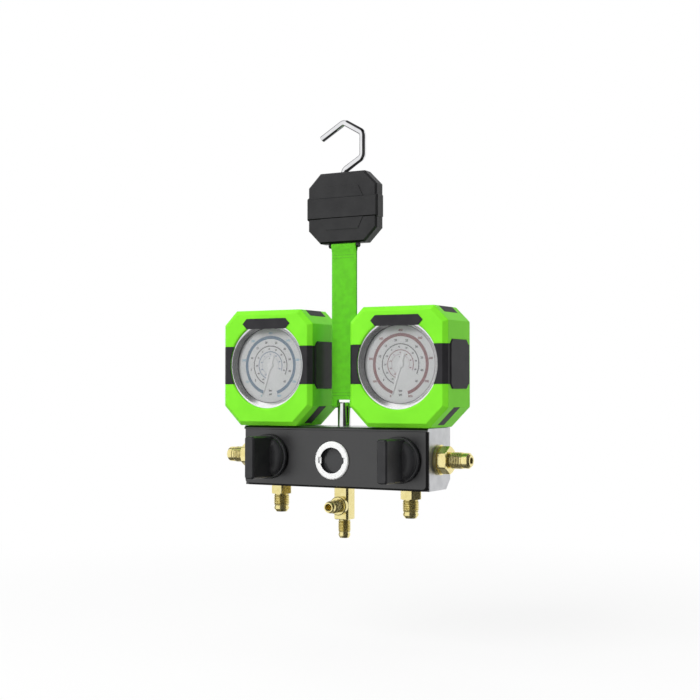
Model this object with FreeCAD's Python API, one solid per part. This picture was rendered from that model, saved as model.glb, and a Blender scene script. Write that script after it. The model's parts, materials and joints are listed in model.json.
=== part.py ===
import FreeCAD, Part
import math
import os

from FreeCAD import Placement, Rotation, Vector

# Two-valve refrigerant manifold gauge that hangs from a strap and a hook. Millimetres.
# X runs to the right along the manifold, Y to the back and Z up. Lengths given as front or
# back count from the plane through the middle of the ports. While the pieces are drawn, Z
# counts from the underside of the manifold block. The last step lowers them all, so that the
# origin is where the hook rests on a rail.

# Manifold block
block_width = 180.0
block_height = 52.0
block_front = 18.0
block_back = 23.0
block_rear_chamfer = 8.0
block_lip_height = 3.0
block_lip_chamfer = 1.6
drilling_radius = 2.5
valve_height = 25.4

# Front plate
plate_thickness = 3.0
plate_chamfer = 1.8
plate_corner_radius = 5.0

# Fits
running_clearance = 0.05
seat_clearance = 0.02
soft_clearance = 0.3

# Sight window
sight_height = 23.5
sight_ring_radius = 16.2
sight_window_radius = 10.9
sight_ring_rise = 2.0
sight_skirt_radius = 13.5
sight_skirt_length = 3.0
sight_glass_thickness = 3.0
sight_seal_section = 1.2
sight_pocket_depth = 16.0
sight_notch_width = 5.4
sight_notch_depth = 2.0
sight_ring_chamfer = 0.8

# Hose ports under the block and at its ends
port_spacing = 128.0
port_thread_radius = 7.0
port_spigot_radius = 6.5
port_spigot_length = 9.0
port_hex_flats = 17.0
port_hex_height = 8.3
port_thread_length = 9.4
port_nose_length = 5.5
port_nose_radius = 4.8
port_groove_depth = 1.0
port_groove_width = 1.0
side_collar_radius = 12.7
side_collar_thickness = 3.0
side_hex_flats = 21.0
side_hex_height = 8.0
side_thread_length = 10.6
side_ring_length = 2.6

# Service tee under the middle of the block
service_thread_radius = 5.55
service_nose_radius = 4.1
tee_width = 14.0
tee_corner = 2.5
tee_height = 28.0
tee_branch_drop = 16.0
tee_branch_boss_radius = 8.0
tee_branch_boss_length = 5.0
service_thread_length = 10.0
service_nose_length = 5.0
service_drilling_radius = 2.7

# Valves
piston_radius = 7.0
piston_length = 6.0
piston_seat = 3.6
piston_end_wall = 1.0
piston_groove_width = 2.0
piston_groove_depth = 1.0
valve_travel = 3.0
valve_turns = 2.25
stem_radius = 4.0
stem_thread_radius = 3.0
stem_flat_depth = 1.0
bonnet_hex_flats = 19.0
bonnet_hex_height = 3.0
bonnet_spigot_radius = 9.0
bonnet_spigot_length = 5.0

# Knobs
knob_radius = 19.5
knob_rim_height = 3.0
knob_dome_radius = 17.8
knob_crown_radius = 10.8
knob_base_height = 8.0
knob_height = 31.0
knob_gap = 1.0
knob_bar_width = 9.6
knob_bar_root_width = 14.0
knob_bar_length = 36.4
knob_bar_chamfer = 1.2
knob_cavity_radius = 15.5
knob_cavity_depth = 4.6
knob_bore_depth = 16.0

# Gauges
gauge_rise = 53.0
case_radius = 39.0
case_wall = 1.0
case_back = 19.0
case_edge = 2.0
bezel_wall = 0.9
bezel_lip = 3.6
bezel_face_width = 8.0
bezel_slope = 5.2
bezel_skirt = 10.0
bezel_edge = 0.4
lens_thickness = 1.0
gasket_thickness = 1.2
gasket_width = 2.1
dial_thickness = 0.6
dial_hole_radius = 2.0
socket_width = 12.0
socket_spigot_radius = 5.0
socket_spigot_length = 9.0
socket_head_width = 26.0
socket_head_top = 26.0

# Gauge movement
movement_plate = 1.2
movement_half_width = 9.0
movement_top = 7.0
movement_bottom = 34.0
pillar_radius = 1.6
arbor_radius = 1.0
tooth_module = 0.5
pinion_teeth = 10
sector_teeth = 80
sector_first_tooth = -3
sector_last_tooth = 11
gear_thickness = 1.4
pinion_length = 4.0
tube_radius = 31.0
tube_depth = 8.0
tube_width = 3.0
tube_wall = 0.5
tube_start = 195.0
tube_sweep = 255.0
pointer_reach = 26.0
pointer_tail = 9.0
pointer_width = 3.0
pointer_thickness = 0.4
pointer_gap = 0.3
pointer_hub_radius = 3.0
pointer_zero = 196.0

# Rubber boots
boot_width = 91.0
boot_height = 101.0
boot_front = 26.4
boot_back = 22.4
boot_bevel = 3.7
boot_top_chamfer = 12.5
boot_bottom_chamfer = 17.0
boot_opening_radius = 37.5
boot_opening_bevel = 1.1
boot_lip = 1.6
boot_rear_opening_radius = 33.0
boot_rear_bevel = 2.0
trim_depth = 0.8
band_height = 33.0
pad_height = 41.0
pad_front = 19.5
pad_back = 16.0
pad_rise = 1.1
pad_chamfer = 0.8
pad_corner = 3.5
top_pad_width = 14.0
top_pad_depth = 9.0
top_pad_rise = 0.7
top_inset_width = 5.0
top_inset_front = 14.0
top_inset_back = 12.0
bottom_inset_front = 11.5
bottom_inset_back = 0.5
bottom_inset_rise = 2.2
badge_width = 48.5
badge_flat_width = 40.0
badge_height = 9.0
badge_thickness = 0.6
badge_rise = 36.4
badge_backing_margin = 0.6

# Post and strap
post_radius = 5.8
post_height = 20.8
post_pin_radius = 1.25
post_pin_drop = 2.4
post_pin_overhang = 0.3
post_spigot_radius = 4.0
post_spigot_length = 9.0
post_chamfer = 0.8
strap_width = 24.4
strap_ply = 1.2
strap_length = 138.9
strap_taper = 7.0
strap_window_rise = 4.6
strap_window_gap = 0.4
strap_pin_radius = 1.5

# Hook box
box_width = 68.0
box_height = 61.8
box_front = 5.0
box_back = 8.0
box_corner = 12.0
box_bevel = 1.6
box_parting = 1.5
box_bottom_gap = 1.6
ear_width = 2.0
ear_half_depth = 2.3
ear_gap = 0.5
band_rise = 0.8
band_side_rise = 1.2
box_band_height = 20.0
panel_base_width = 42.0
panel_top_width = 32.0
panel_height = 9.0
panel_rise = 0.5
magnet_radius = 17.0
magnet_thickness = 4.5
box_screw_radius = 1.5
box_screw_head_radius = 2.6
box_screw_head = 1.4
box_screw_length = 8.0
box_screw_x = 25.0
box_screw_z = 19.0

# Hook
hook_rod_radius = 3.0
hook_side = 21.0
hook_tip_length = 26.0
hook_bend_radius = 5.0
hook_neck = 2.0
hook_mouth_margin = 0.35
hook_mouth_depth = 0.8
hook_head_radius = 4.0
hook_head_height = 3.0
hook_collar_depth = 5.2

# Worked-out places
plate_front = block_front + plate_thickness
plate_height = block_height - block_lip_height
port_x = port_spacing / 2.0
gauge_z = block_height + gauge_rise
boot_bottom = block_height + soft_clearance
bezel_front = boot_front - boot_lip - 0.2
bezel_radius = case_radius + 0.1 + bezel_wall
bezel_opening_radius = bezel_radius - bezel_face_width
lens_front = bezel_front - bezel_lip
dial_front = lens_front - lens_thickness - gasket_thickness
dial_back = dial_front - dial_thickness
pointer_back = dial_front + pointer_gap
pinion_radius = tooth_module * pinion_teeth / 2.0
sector_radius = tooth_module * sector_teeth / 2.0
arbor_spacing = pinion_radius + sector_radius
movement_face = socket_width / 2.0
strap_foot_z = block_height + post_height - post_pin_drop
strap_pin_z = strap_foot_z + strap_length
box_bottom = strap_pin_z + box_bottom_gap
box_top = box_bottom + box_height
hook_foot_z = box_top + hook_neck
hook_peak_z = hook_foot_z + 2.0 * hook_side
bend_saving = hook_bend_radius * (1.0 / math.cos(math.radians(30.0)) - 1.0)
hang_height = hook_peak_z - bend_saving - hook_rod_radius
strap_loop_radius = strap_pin_radius + running_clearance + strap_ply
knob_back = plate_front + knob_gap

UP = Vector(0, 0, 1)
DOWN = Vector(0, 0, -1)
RIGHT = Vector(1, 0, 0)
LEFT = Vector(-1, 0, 0)
BACK = Vector(0, 1, 0)
FRONT = Vector(0, -1, 0)

# A square corner cut at 45 degrees loses this share of an inset from its cut, so that all sides move alike
CORNER_SHARE = 2.0 - math.sqrt(2.0)


# Basic forms

def box(x_range, y_range, z_range):
    """Block between two values on each axis."""
    corner = Vector(x_range[0], y_range[0], z_range[0])
    sizes = (x_range[1] - x_range[0], y_range[1] - y_range[0], z_range[1] - z_range[0])
    return Part.makeBox(sizes[0], sizes[1], sizes[2], corner)


def round_x(radius, start, end, y=0.0, z=0.0):
    """Cylinder along X."""
    return Part.makeCylinder(radius, end - start, Vector(start, y, z), RIGHT)


def round_y(radius, start, end, x=0.0, z=0.0):
    """Cylinder along Y."""
    return Part.makeCylinder(radius, end - start, Vector(x, start, z), BACK)


def round_z(radius, start, end, x=0.0, y=0.0):
    """Cylinder along Z."""
    return Part.makeCylinder(radius, end - start, Vector(x, y, start), UP)


def prism_y(points, start, end):
    """Outline of (x, z) points carried along Y."""
    corners = [Vector(x, start, z) for x, z in points]
    outline = Part.makePolygon(corners + corners[:1])
    return Part.Face(outline).extrude(Vector(0, end - start, 0))


def prism_x(points, start, end):
    """Outline of (y, z) points carried along X."""
    corners = [Vector(start, y, z) for y, z in points]
    outline = Part.makePolygon(corners + corners[:1])
    return Part.Face(outline).extrude(Vector(end - start, 0, 0))


def loft(outlines):
    """Solid through closed outlines of 3-D points, with straight sides."""
    wires = [Part.makePolygon(points + points[:1]) for points in outlines]
    return Part.makeLoft(wires, True, True)


def turned(profile, base=Vector(0, 0, 0), axis=UP):
    """Outline of (distance along the axis, radius) points turned once round the axis."""
    corners = [Vector(radius, 0, along) for along, radius in profile]
    face = Part.Face(Part.makePolygon(corners + corners[:1]))
    solid = face.revolve(Vector(0, 0, 0), UP, 360)
    solid.Placement = Placement(base, Rotation(UP, axis))
    return solid


def hexagon(flats, start, end):
    """Hexagonal bar along Z with the corners of both ends turned off."""
    corner = flats / math.sqrt(3.0)
    points = []
    for step in range(6):
        angle = math.radians(60.0 * step)
        points.append(Vector(corner * math.cos(angle), corner * math.sin(angle), start))
    bar = Part.Face(Part.makePolygon(points + points[:1])).extrude(Vector(0, 0, end - start))
    relief = corner - flats / 2.0
    slope = relief * math.tan(math.radians(30.0))
    profile = [(start, 0), (start, flats / 2.0), (start + slope, corner),
               (end - slope, corner), (end, flats / 2.0), (end, 0)]
    return bar.common(turned(profile))


def placed(shape, base, axis):
    """Shape drawn along Z, moved to a base point and turned to an axis."""
    moved = shape.copy()
    moved.Placement = Placement(base, Rotation(UP, axis))
    return moved


def octagon(half_width, bottom, top, bottom_cut, top_cut, x=0.0):
    """Rectangle with cut corners as (x, z) points."""
    return [(x - half_width + bottom_cut, bottom), (x + half_width - bottom_cut, bottom),
            (x + half_width, bottom + bottom_cut), (x + half_width, top - top_cut),
            (x + half_width - top_cut, top), (x - half_width + top_cut, top),
            (x - half_width, top - top_cut), (x - half_width, bottom + bottom_cut)]


def bevelled_octagon(half_width, bottom, top, bottom_cut, top_cut, x, front, back, bevels):
    """Octagonal block whose front and back edges are bevelled."""
    front_bevel, back_bevel = bevels

    def ring(inset, y):
        less = inset * CORNER_SHARE
        points = octagon(half_width - inset, bottom + inset, top - inset, bottom_cut - less, top_cut - less, x)
        return [Vector(px, y, pz) for px, pz in points]

    outlines = [ring(front_bevel, front), ring(0.0, front + front_bevel),
                ring(0.0, back - back_bevel), ring(back_bevel, back)]
    return loft(outlines)


def bent_rod(points, bend_radius, rod_radius):
    """Round rod through the points: straight lengths joined by tangent bends."""
    pieces = []
    start = points[0]
    for index in range(1, len(points)):
        corner = points[index]
        heading = (corner - points[index - 1]).normalize()
        if index == len(points) - 1:
            pieces.append(Part.makeCylinder(rod_radius, (corner - start).Length, start, heading))
            break
        onward = (points[index + 1] - corner).normalize()
        turn = heading.getAngle(onward)
        reach = bend_radius * math.tan(turn / 2.0)
        bend_start = corner - heading * reach
        pieces.append(Part.makeCylinder(rod_radius, (bend_start - start).Length, start, heading))
        pivot_axis = heading.cross(onward).normalize()
        centre = bend_start + pivot_axis.cross(heading) * bend_radius
        section = Part.Face(Part.Wire([Part.Circle(bend_start, heading, rod_radius).toShape()]))
        pieces.append(section.revolve(centre, pivot_axis, math.degrees(turn)))
        start = corner + onward * reach
    return pieces[0].fuse(pieces[1:])


# Manifold block and front plate

def manifold_block():
    """Block with its drillings, valve bores, port holes and the recess for the plate."""
    outline = [(-plate_front, plate_height), (-plate_front, block_height - block_lip_chamfer),
               (-plate_front + block_lip_chamfer, block_height), (block_back, block_height),
               (block_back, block_rear_chamfer), (block_back - block_rear_chamfer, 0.0),
               (-block_front, 0.0), (-block_front, plate_height)]
    half = block_width / 2.0
    block = prism_x(outline, -half, half)
    cuts = []
    for side in (-1, 1):
        x = side * port_x
        bore = piston_radius + running_clearance
        cuts.append(round_y(bore, -block_front, -piston_seat, x, valve_height))
        spigot = bonnet_spigot_radius + seat_clearance
        cuts.append(round_y(spigot, -block_front, -block_front + bonnet_spigot_length, x, valve_height))
        cuts.append(round_y(drilling_radius, -piston_seat, 0.0, x, valve_height))
        cuts.append(round_z(drilling_radius, 0.0, block_height, x))
        port_hole = port_spigot_radius + seat_clearance
        cuts.append(round_z(port_hole, 0.0, port_spigot_length, x))
        socket_hole = socket_spigot_radius + seat_clearance
        cuts.append(round_z(socket_hole, block_height - socket_spigot_length, block_height, x))
        end = sorted((side * half, side * (half - port_spigot_length)))
        cuts.append(round_x(port_hole, end[0], end[1], 0.0, valve_height))
        passage = sorted((side * half, x))
        cuts.append(round_x(drilling_radius, passage[0], passage[1], 0.0, valve_height))
    gallery_y = -(piston_seat + drilling_radius + 0.2)
    cuts.append(round_x(drilling_radius, -port_x, port_x, gallery_y, valve_height))
    sight_bore = sight_skirt_radius + seat_clearance
    cuts.append(round_y(sight_bore, -block_front, -plate_front + sight_seat_depth(), 0.0, sight_height))
    cuts.append(round_y(sight_window_radius, -block_front, -block_front + sight_pocket_depth, 0.0, sight_height))
    cuts.append(round_z(drilling_radius, 0.0, sight_height))
    tee_hole = port_spigot_radius + seat_clearance
    cuts.append(round_z(tee_hole, 0.0, port_spigot_length))
    post_hole = post_spigot_radius + seat_clearance
    cuts.append(round_z(post_hole, block_height - post_spigot_length, block_height))
    return block.cut(cuts)


def sight_seat_depth():
    """Depth of the sight window's seat behind the front of the plate."""
    return sight_skirt_length + sight_glass_thickness + sight_seal_section


def front_plate():
    """Plate over the front of the block, round at its lower corners, with a bevelled rim."""
    half = block_width / 2.0
    plate = box((-half, half), (-plate_front, -block_front), (0.0, plate_height))
    lower = [edge for edge in plate.Edges
             if abs(edge.CenterOfMass.z) < 0.001 and abs(abs(edge.CenterOfMass.x) - half) < 0.001]
    plate = plate.makeFillet(plate_corner_radius, lower)
    rim = [edge for edge in plate.Edges
           if abs(edge.BoundBox.YMax + plate_front) < 0.001 and edge.BoundBox.ZMin < plate_height - 0.001]
    plate = plate.makeChamfer(plate_chamfer, rim)
    holes = [round_y(sight_skirt_radius + seat_clearance, -plate_front, -block_front, 0.0, sight_height)]
    for side in (-1, 1):
        hole = bonnet_spigot_radius + seat_clearance
        holes.append(round_y(hole, -plate_front, -block_front, side * port_x, valve_height))
    return plate.cut(holes)


# Sight window

def sight_ring():
    """Threaded ring that holds the sight glass, with two slots for a spanner."""
    rise = sight_ring_rise
    chamfer = sight_ring_chamfer
    profile = [(-rise, sight_window_radius), (-rise, sight_ring_radius - chamfer),
               (-rise + chamfer, sight_ring_radius), (0.0, sight_ring_radius),
               (0.0, sight_skirt_radius), (sight_skirt_length, sight_skirt_radius),
               (sight_skirt_length, sight_window_radius)]
    ring = turned(profile, Vector(0, -plate_front, sight_height), BACK)
    reach = sight_window_radius + sight_notch_depth
    slot = box((-reach, reach), (-plate_front - rise, -plate_front),
               (sight_height - sight_notch_width / 2.0, sight_height + sight_notch_width / 2.0))
    return ring.cut(slot)


def sight_glass():
    """Round glass behind the ring."""
    front = -plate_front + sight_skirt_length
    glass = round_y(sight_skirt_radius - 0.3, front, front + sight_glass_thickness, 0.0, sight_height)
    return glass.makeChamfer(0.3, glass.Edges)


def sight_seal():
    """Sealing ring behind the glass."""
    front = -plate_front + sight_skirt_length + sight_glass_thickness
    profile = [(0.0, sight_window_radius), (0.0, sight_skirt_radius - 0.3),
               (sight_seal_section, sight_skirt_radius - 0.3), (sight_seal_section, sight_window_radius)]
    return turned(profile, Vector(0, front, sight_height), BACK)


# Ports

def flare_end(start, thread_radius, thread_length, nose_length, nose_radius, ring_length=0.0):
    """Profile points of a flare thread, its groove and its sloped nose, from a shoulder outwards."""
    neck = thread_radius - port_groove_depth
    first = start + port_groove_width
    last = first + thread_length
    groove_end = last + port_groove_width
    straight = groove_end + ring_length + nose_length * 0.35
    tip = groove_end + ring_length + nose_length - port_groove_width
    return [(start, neck), (first, neck), (first, thread_radius), (last, thread_radius),
            (last, neck), (groove_end, neck), (groove_end, thread_radius - 0.4),
            (straight, thread_radius - 0.4), (tip, nose_radius)]


def hose_port():
    """Port under the block, drawn outwards along Z from its shoulder."""
    flare = flare_end(port_hex_height, port_thread_radius, port_thread_length, port_nose_length, port_nose_radius)
    tip = flare[-1][0]
    profile = [(-port_spigot_length, drilling_radius), (-port_spigot_length, port_spigot_radius - 0.5),
               (-port_spigot_length + 0.5, port_spigot_radius), (0.0, port_spigot_radius),
               (port_hex_height, port_spigot_radius)]
    body = turned(profile + flare + [(tip, drilling_radius)])
    collar = hexagon(port_hex_flats, 0.0, port_hex_height)
    return body.fuse(collar).cut(round_z(drilling_radius, -port_spigot_length, tip)).removeSplitter()


def side_port():
    """Port at an end of the block, with a wide collar, drawn outwards along Z."""
    hex_end = side_collar_thickness + side_hex_height
    flare = flare_end(hex_end, port_thread_radius, side_thread_length, port_nose_length - 1.0,
                      port_nose_radius, side_ring_length)
    tip = flare[-1][0]
    edge = 0.6
    profile = [(-port_spigot_length, drilling_radius), (-port_spigot_length, port_spigot_radius - 0.5),
               (-port_spigot_length + 0.5, port_spigot_radius), (0.0, port_spigot_radius),
               (0.0, side_collar_radius), (side_collar_thickness - edge, side_collar_radius),
               (side_collar_thickness, side_collar_radius - edge),
               (side_collar_thickness, port_spigot_radius), (hex_end, port_spigot_radius)]
    body = turned(profile + flare + [(tip, drilling_radius)])
    nut = hexagon(side_hex_flats, side_collar_thickness, hex_end)
    return body.fuse(nut).cut(round_z(drilling_radius, -port_spigot_length, tip)).removeSplitter()


def service_tee():
    """Brass tee with a flare port down and a flare port to the front."""
    half = tee_width / 2.0
    outline = octagon(half, -half, half, tee_corner, tee_corner)
    points = [Vector(x, y, -tee_height) for x, y in outline]
    body = Part.Face(Part.makePolygon(points + points[:1])).extrude(Vector(0, 0, tee_height))
    spigot = round_z(port_spigot_radius, 0.0, port_spigot_length)
    down = flare_end(tee_height, service_thread_radius, service_thread_length,
                     service_nose_length, service_nose_radius)
    down_profile = [(tee_height - 1.0, 0.0), (tee_height - 1.0, down[0][1])] + down + [(down[-1][0], 0.0)]
    boss_end = half + tee_branch_boss_length
    front = flare_end(boss_end, service_thread_radius, service_thread_length,
                      service_nose_length, service_nose_radius)
    front_profile = [(0.0, 0.0), (0.0, half), (half, half), (half, tee_branch_boss_radius - 1.0),
                     (half + 1.0, tee_branch_boss_radius), (boss_end, tee_branch_boss_radius)]
    front_profile += front + [(front[-1][0], 0.0)]
    branch_base = Vector(0, 0, -tee_branch_drop)
    branch = turned(front_profile, branch_base, FRONT)
    tee = body.fuse([spigot, turned(down_profile, Vector(0, 0, 0), DOWN), branch])
    drill_down = round_z(service_drilling_radius, -down[-1][0], port_spigot_length)
    drill_front = round_y(service_drilling_radius, -front[-1][0], 0.0, 0.0, -tee_branch_drop)
    return tee.cut([drill_down, drill_front]).removeSplitter()


# Valves

def valve_bonnet(x):
    """Hexagonal bonnet that guides the valve stem."""
    nut = placed(hexagon(bonnet_hex_flats, 0.0, bonnet_hex_height), Vector(x, -plate_front, valve_height), FRONT)
    back = -block_front + bonnet_spigot_length
    spigot = round_y(bonnet_spigot_radius, -plate_front, back, x, valve_height)
    bore = round_y(stem_radius + running_clearance, -plate_front - bonnet_hex_height, back, x, valve_height)
    return nut.fuse(spigot).cut(bore).removeSplitter()


def valve_piston(x):
    """Piston that closes the seat, grooved for its sealing ring and bored for the stem's thread."""
    front = piston_seat + piston_length
    groove = piston_seat + piston_length / 2.0
    half = piston_groove_width / 2.0
    inner = piston_radius - piston_groove_depth
    thread = stem_thread_radius + running_clearance
    back = piston_seat + seat_clearance
    profile = [(back, 0.0), (back, drilling_radius + 2.0), (back + 1.2, piston_radius),
               (groove - half, piston_radius), (groove - half, inner),
               (groove + half, inner), (groove + half, piston_radius), (front, piston_radius),
               (front, thread), (back + piston_end_wall, thread), (back + piston_end_wall, 0.0)]
    return turned(profile, Vector(x, 0, valve_height), FRONT)


def piston_ring(x):
    """Sealing ring in the piston's groove."""
    middle = piston_seat + piston_length / 2.0
    half = piston_groove_width / 2.0 - 0.2
    inner = piston_radius - piston_groove_depth
    profile = [(middle - half, inner), (middle - half, piston_radius - 0.2), (middle - half + 0.2, piston_radius),
               (middle + half - 0.2, piston_radius), (middle + half, piston_radius - 0.2), (middle + half, inner)]
    return turned(profile, Vector(x, 0, valve_height), FRONT)


def valve_stem(x):
    """Stem from the piston's thread to the inside of the knob, flat where the knob holds it."""
    end = piston_seat + piston_end_wall + valve_travel + 4.0 * running_clearance
    shoulder = block_front - bonnet_spigot_length
    front = knob_back + knob_bore_depth
    profile = [(end, 0.0), (end, stem_thread_radius), (shoulder, stem_thread_radius), (shoulder, stem_radius),
               (front, stem_radius), (front, 0.0)]
    stem = turned(profile, Vector(x, 0, valve_height), FRONT)
    flat = box((x - stem_radius, x + stem_radius), (-front, -knob_back - knob_cavity_depth),
               (valve_height + stem_radius - stem_flat_depth, valve_height + stem_radius))
    return stem.cut(flat)


def knob(x):
    """Wing knob: a rimmed dome with one thick bar across it, hollow behind."""
    base = knob_back
    top = base + knob_base_height
    profile = [(base, 0.0), (base, knob_radius), (base + knob_rim_height - 0.6, knob_radius),
               (base + knob_rim_height, knob_radius - 0.6), (base + knob_rim_height, knob_dome_radius),
               (base + knob_rim_height + 1.5, knob_dome_radius - 0.4),
               (base + knob_rim_height + 3.2, knob_dome_radius - 2.0), (top, knob_crown_radius), (top, 0.0)]
    centre = Vector(x, 0, valve_height)
    dome = turned(profile, centre, FRONT)

    def section(width, length, distance):
        half = width / 2.0
        reach = length / 2.0
        corners = octagon(half, valve_height - reach, valve_height + reach, 1.5, 1.5, x)
        return [Vector(px, -distance, pz) for px, pz in corners]

    front = base + knob_height
    root_length = 2.0 * knob_dome_radius
    bar = loft([section(knob_bar_root_width, root_length, base + knob_rim_height),
                section(knob_bar_width, knob_bar_length, front - knob_bar_chamfer),
                section(knob_bar_width - 2.0 * knob_bar_chamfer, knob_bar_length - 2.0 * knob_bar_chamfer, front)])
    cavity = round_y(knob_cavity_radius, -base - knob_cavity_depth, -base, x, valve_height)
    bore = valve_stem(x)
    return dome.fuse(bar).cut([cavity, bore]).removeSplitter()


# Gauges

def gauge_socket(x):
    """Brass socket: screws into the block, passes the case and carries tube and movement."""
    half = socket_width / 2.0
    spigot = round_z(socket_spigot_radius, block_height - socket_spigot_length, block_height, x)
    column = box((x - half, x + half), (-half, half), (block_height, gauge_z - socket_head_top - 2.0))
    reach = socket_head_width / 2.0
    head = box((x - reach, x + reach), (-half, half), (gauge_z - case_radius, gauge_z - socket_head_top))
    head = head.common(round_y(case_radius - case_wall - 0.1, -half, half, x, gauge_z))
    slot = tube_solid(x, tube_start, tube_sweep, 0.03)
    passage = round_z(1.5, block_height - socket_spigot_length, gauge_z - socket_head_top - 3.0, x)
    return spigot.fuse([column, head]).cut([slot, passage]).removeSplitter()


def gauge_case(x):
    """Deep pressed case, open at the front, with a hole for the socket."""
    inner = case_radius - case_wall
    profile = [(-dial_back, inner), (-dial_back, case_radius), (case_back - case_edge, case_radius),
               (case_back, case_radius - case_edge), (case_back, 0.0), (case_back - case_wall, 0.0),
               (case_back - case_wall, inner - case_edge), (case_back - case_edge, inner)]
    case = turned(profile, Vector(x, 0, gauge_z), BACK)
    half = socket_width / 2.0 + 0.1
    hole = box((x - half, x + half), (-half, half), (gauge_z - case_radius - 1.0, gauge_z - socket_head_top))
    return case.cut(hole)


def gauge_bezel(x):
    """Bezel ring that clips over the case and holds the lens."""
    outer = bezel_radius
    inner = case_radius + 0.1
    profile = [(-bezel_front, bezel_opening_radius + bezel_slope), (-bezel_front, outer - bezel_edge),
               (-bezel_front + bezel_edge, outer), (-bezel_front + bezel_skirt, outer),
               (-bezel_front + bezel_skirt, inner), (-lens_front, inner), (-lens_front, bezel_opening_radius)]
    return turned(profile, Vector(x, 0, gauge_z), BACK)


def gauge_lens(x):
    """Flat lens."""
    return round_y(case_radius - 0.1, -lens_front, -lens_front + lens_thickness, x, gauge_z)


def lens_gasket(x):
    """Gasket between lens and dial."""
    back = -lens_front + lens_thickness
    outer = case_radius - 0.1
    ring = round_y(outer, back, back + gasket_thickness, x, gauge_z)
    return ring.cut(round_y(outer - gasket_width, back, back + gasket_thickness, x, gauge_z))


def gauge_dial(x):
    """Dial plate that rests on the rim of the case."""
    plate = round_y(case_radius - 0.1, -dial_front, -dial_back, x, gauge_z)
    return plate.cut(round_y(dial_hole_radius, -dial_front, -dial_back, x, gauge_z))


def tube_solid(x, start, sweep, grow):
    """Curved flat bar round the gauge's axis, from a start angle clockwise from the top."""
    half_width = tube_width / 2.0 + grow
    half_depth = tube_depth / 2.0 + grow
    cut = half_width * 0.6
    outline = octagon(half_width, -half_depth, half_depth, cut, cut, tube_radius)
    points = [Vector(px, py, 0) for px, py in outline]
    solid = Part.Face(Part.makePolygon(points + points[:1])).revolve(Vector(0, 0, 0), BACK, sweep)
    solid.rotate(Vector(0, 0, 0), BACK, start - 90.0)
    solid.translate(Vector(x, 0, gauge_z))
    return solid


def bourdon_tube(x):
    """Oval spring tube, bent almost round, whose free end moves with pressure."""
    outer = tube_solid(x, tube_start, tube_sweep, 0.0)
    inner = tube_solid(x, tube_start + 2.0, tube_sweep - 4.0, -tube_wall)
    return outer.cut(inner)


def movement_frame(x):
    """Two plates with pillars between them, clamped on the socket, that carry both arbors."""
    half = movement_half_width
    outline = octagon(half, gauge_z - movement_bottom, gauge_z + movement_top, 2.0, 4.0, x)
    front = prism_y(outline, -movement_face - movement_plate, -movement_face)
    back = prism_y(outline, movement_face, movement_face + movement_plate)
    pillars = []
    for side in (-1, 1):
        pillar_x = x + side * (half - 2.2)
        pillars.append(round_y(pillar_radius, -movement_face, movement_face, pillar_x, gauge_z + movement_top - 4.2))
    holes = []
    for height in (gauge_z, gauge_z - arbor_spacing):
        holes.append(round_y(arbor_radius + running_clearance, -movement_face - movement_plate,
                             movement_face + movement_plate, x, height))
    return front.fuse(pillars + [back]).cut(holes).removeSplitter()


def tooth(angle, pitch_angle, pitch_radius, turn):
    """Six points of one tooth, at an angle clockwise from the top."""
    root = pitch_radius - 1.2 * tooth_module
    tip = pitch_radius + 0.9 * tooth_module
    stations = [(-0.25, root), (-0.2, pitch_radius), (-0.09, tip), (0.09, tip), (0.2, pitch_radius), (0.25, root)]
    points = []
    for share, radius in stations:
        way = math.radians(turn + angle + share * pitch_angle)
        points.append((radius * math.sin(way), radius * math.cos(way)))
    return points


def pinion(x):
    """Small toothed wheel on the pointer's arbor."""
    pitch_angle = 360.0 / pinion_teeth
    points = []
    for index in range(pinion_teeth):
        points += tooth(index * pitch_angle, pitch_angle, pinion_radius, 180.0 + pitch_angle / 2.0)
    outline = [(x + px, gauge_z + pz) for px, pz in points]
    wheel = prism_y(outline, -pinion_length / 2.0, pinion_length / 2.0)
    arbor = round_y(arbor_radius, -pointer_back, movement_face + movement_plate, x, gauge_z)
    return wheel.fuse(arbor)


def sector_gear(x):
    """Toothed sector that turns the pinion, with its arbor and a short tail for the link."""
    pitch_angle = 360.0 / sector_teeth
    pivot_z = gauge_z - arbor_spacing
    points = []
    for index in range(sector_first_tooth, sector_last_tooth + 1):
        points += tooth(index * pitch_angle, pitch_angle, sector_radius, 0.0)
    rim_inner = sector_radius - 1.2 * tooth_module - 2.5
    last = math.radians((sector_last_tooth + 0.25) * pitch_angle)
    first = math.radians((sector_first_tooth - 0.25) * pitch_angle)
    middle = (first + last) / 2.0
    arm = 0.12
    points.append((rim_inner * math.sin(last), rim_inner * math.cos(last)))
    points.append((rim_inner * math.sin(middle + arm), rim_inner * math.cos(middle + arm)))
    points.append((3.0 * math.sin(middle + 1.2), 3.0 * math.cos(middle + 1.2)))
    points.append((3.0 * math.sin(middle + 2.2), 3.0 * math.cos(middle + 2.2)))
    points.append((3.0 * math.sin(middle - 2.2), 3.0 * math.cos(middle - 2.2)))
    points.append((3.0 * math.sin(middle - 1.2), 3.0 * math.cos(middle - 1.2)))
    points.append((rim_inner * math.sin(middle - arm), rim_inner * math.cos(middle - arm)))
    points.append((rim_inner * math.sin(first), rim_inner * math.cos(first)))
    outline = [(x + px, pivot_z + pz) for px, pz in points]
    half = gear_thickness / 2.0
    plate = prism_y(outline, -half, half)
    reach = movement_face + movement_plate
    arbor = round_y(arbor_radius, -reach, reach, x, pivot_z)
    return plate.fuse(arbor)


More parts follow.
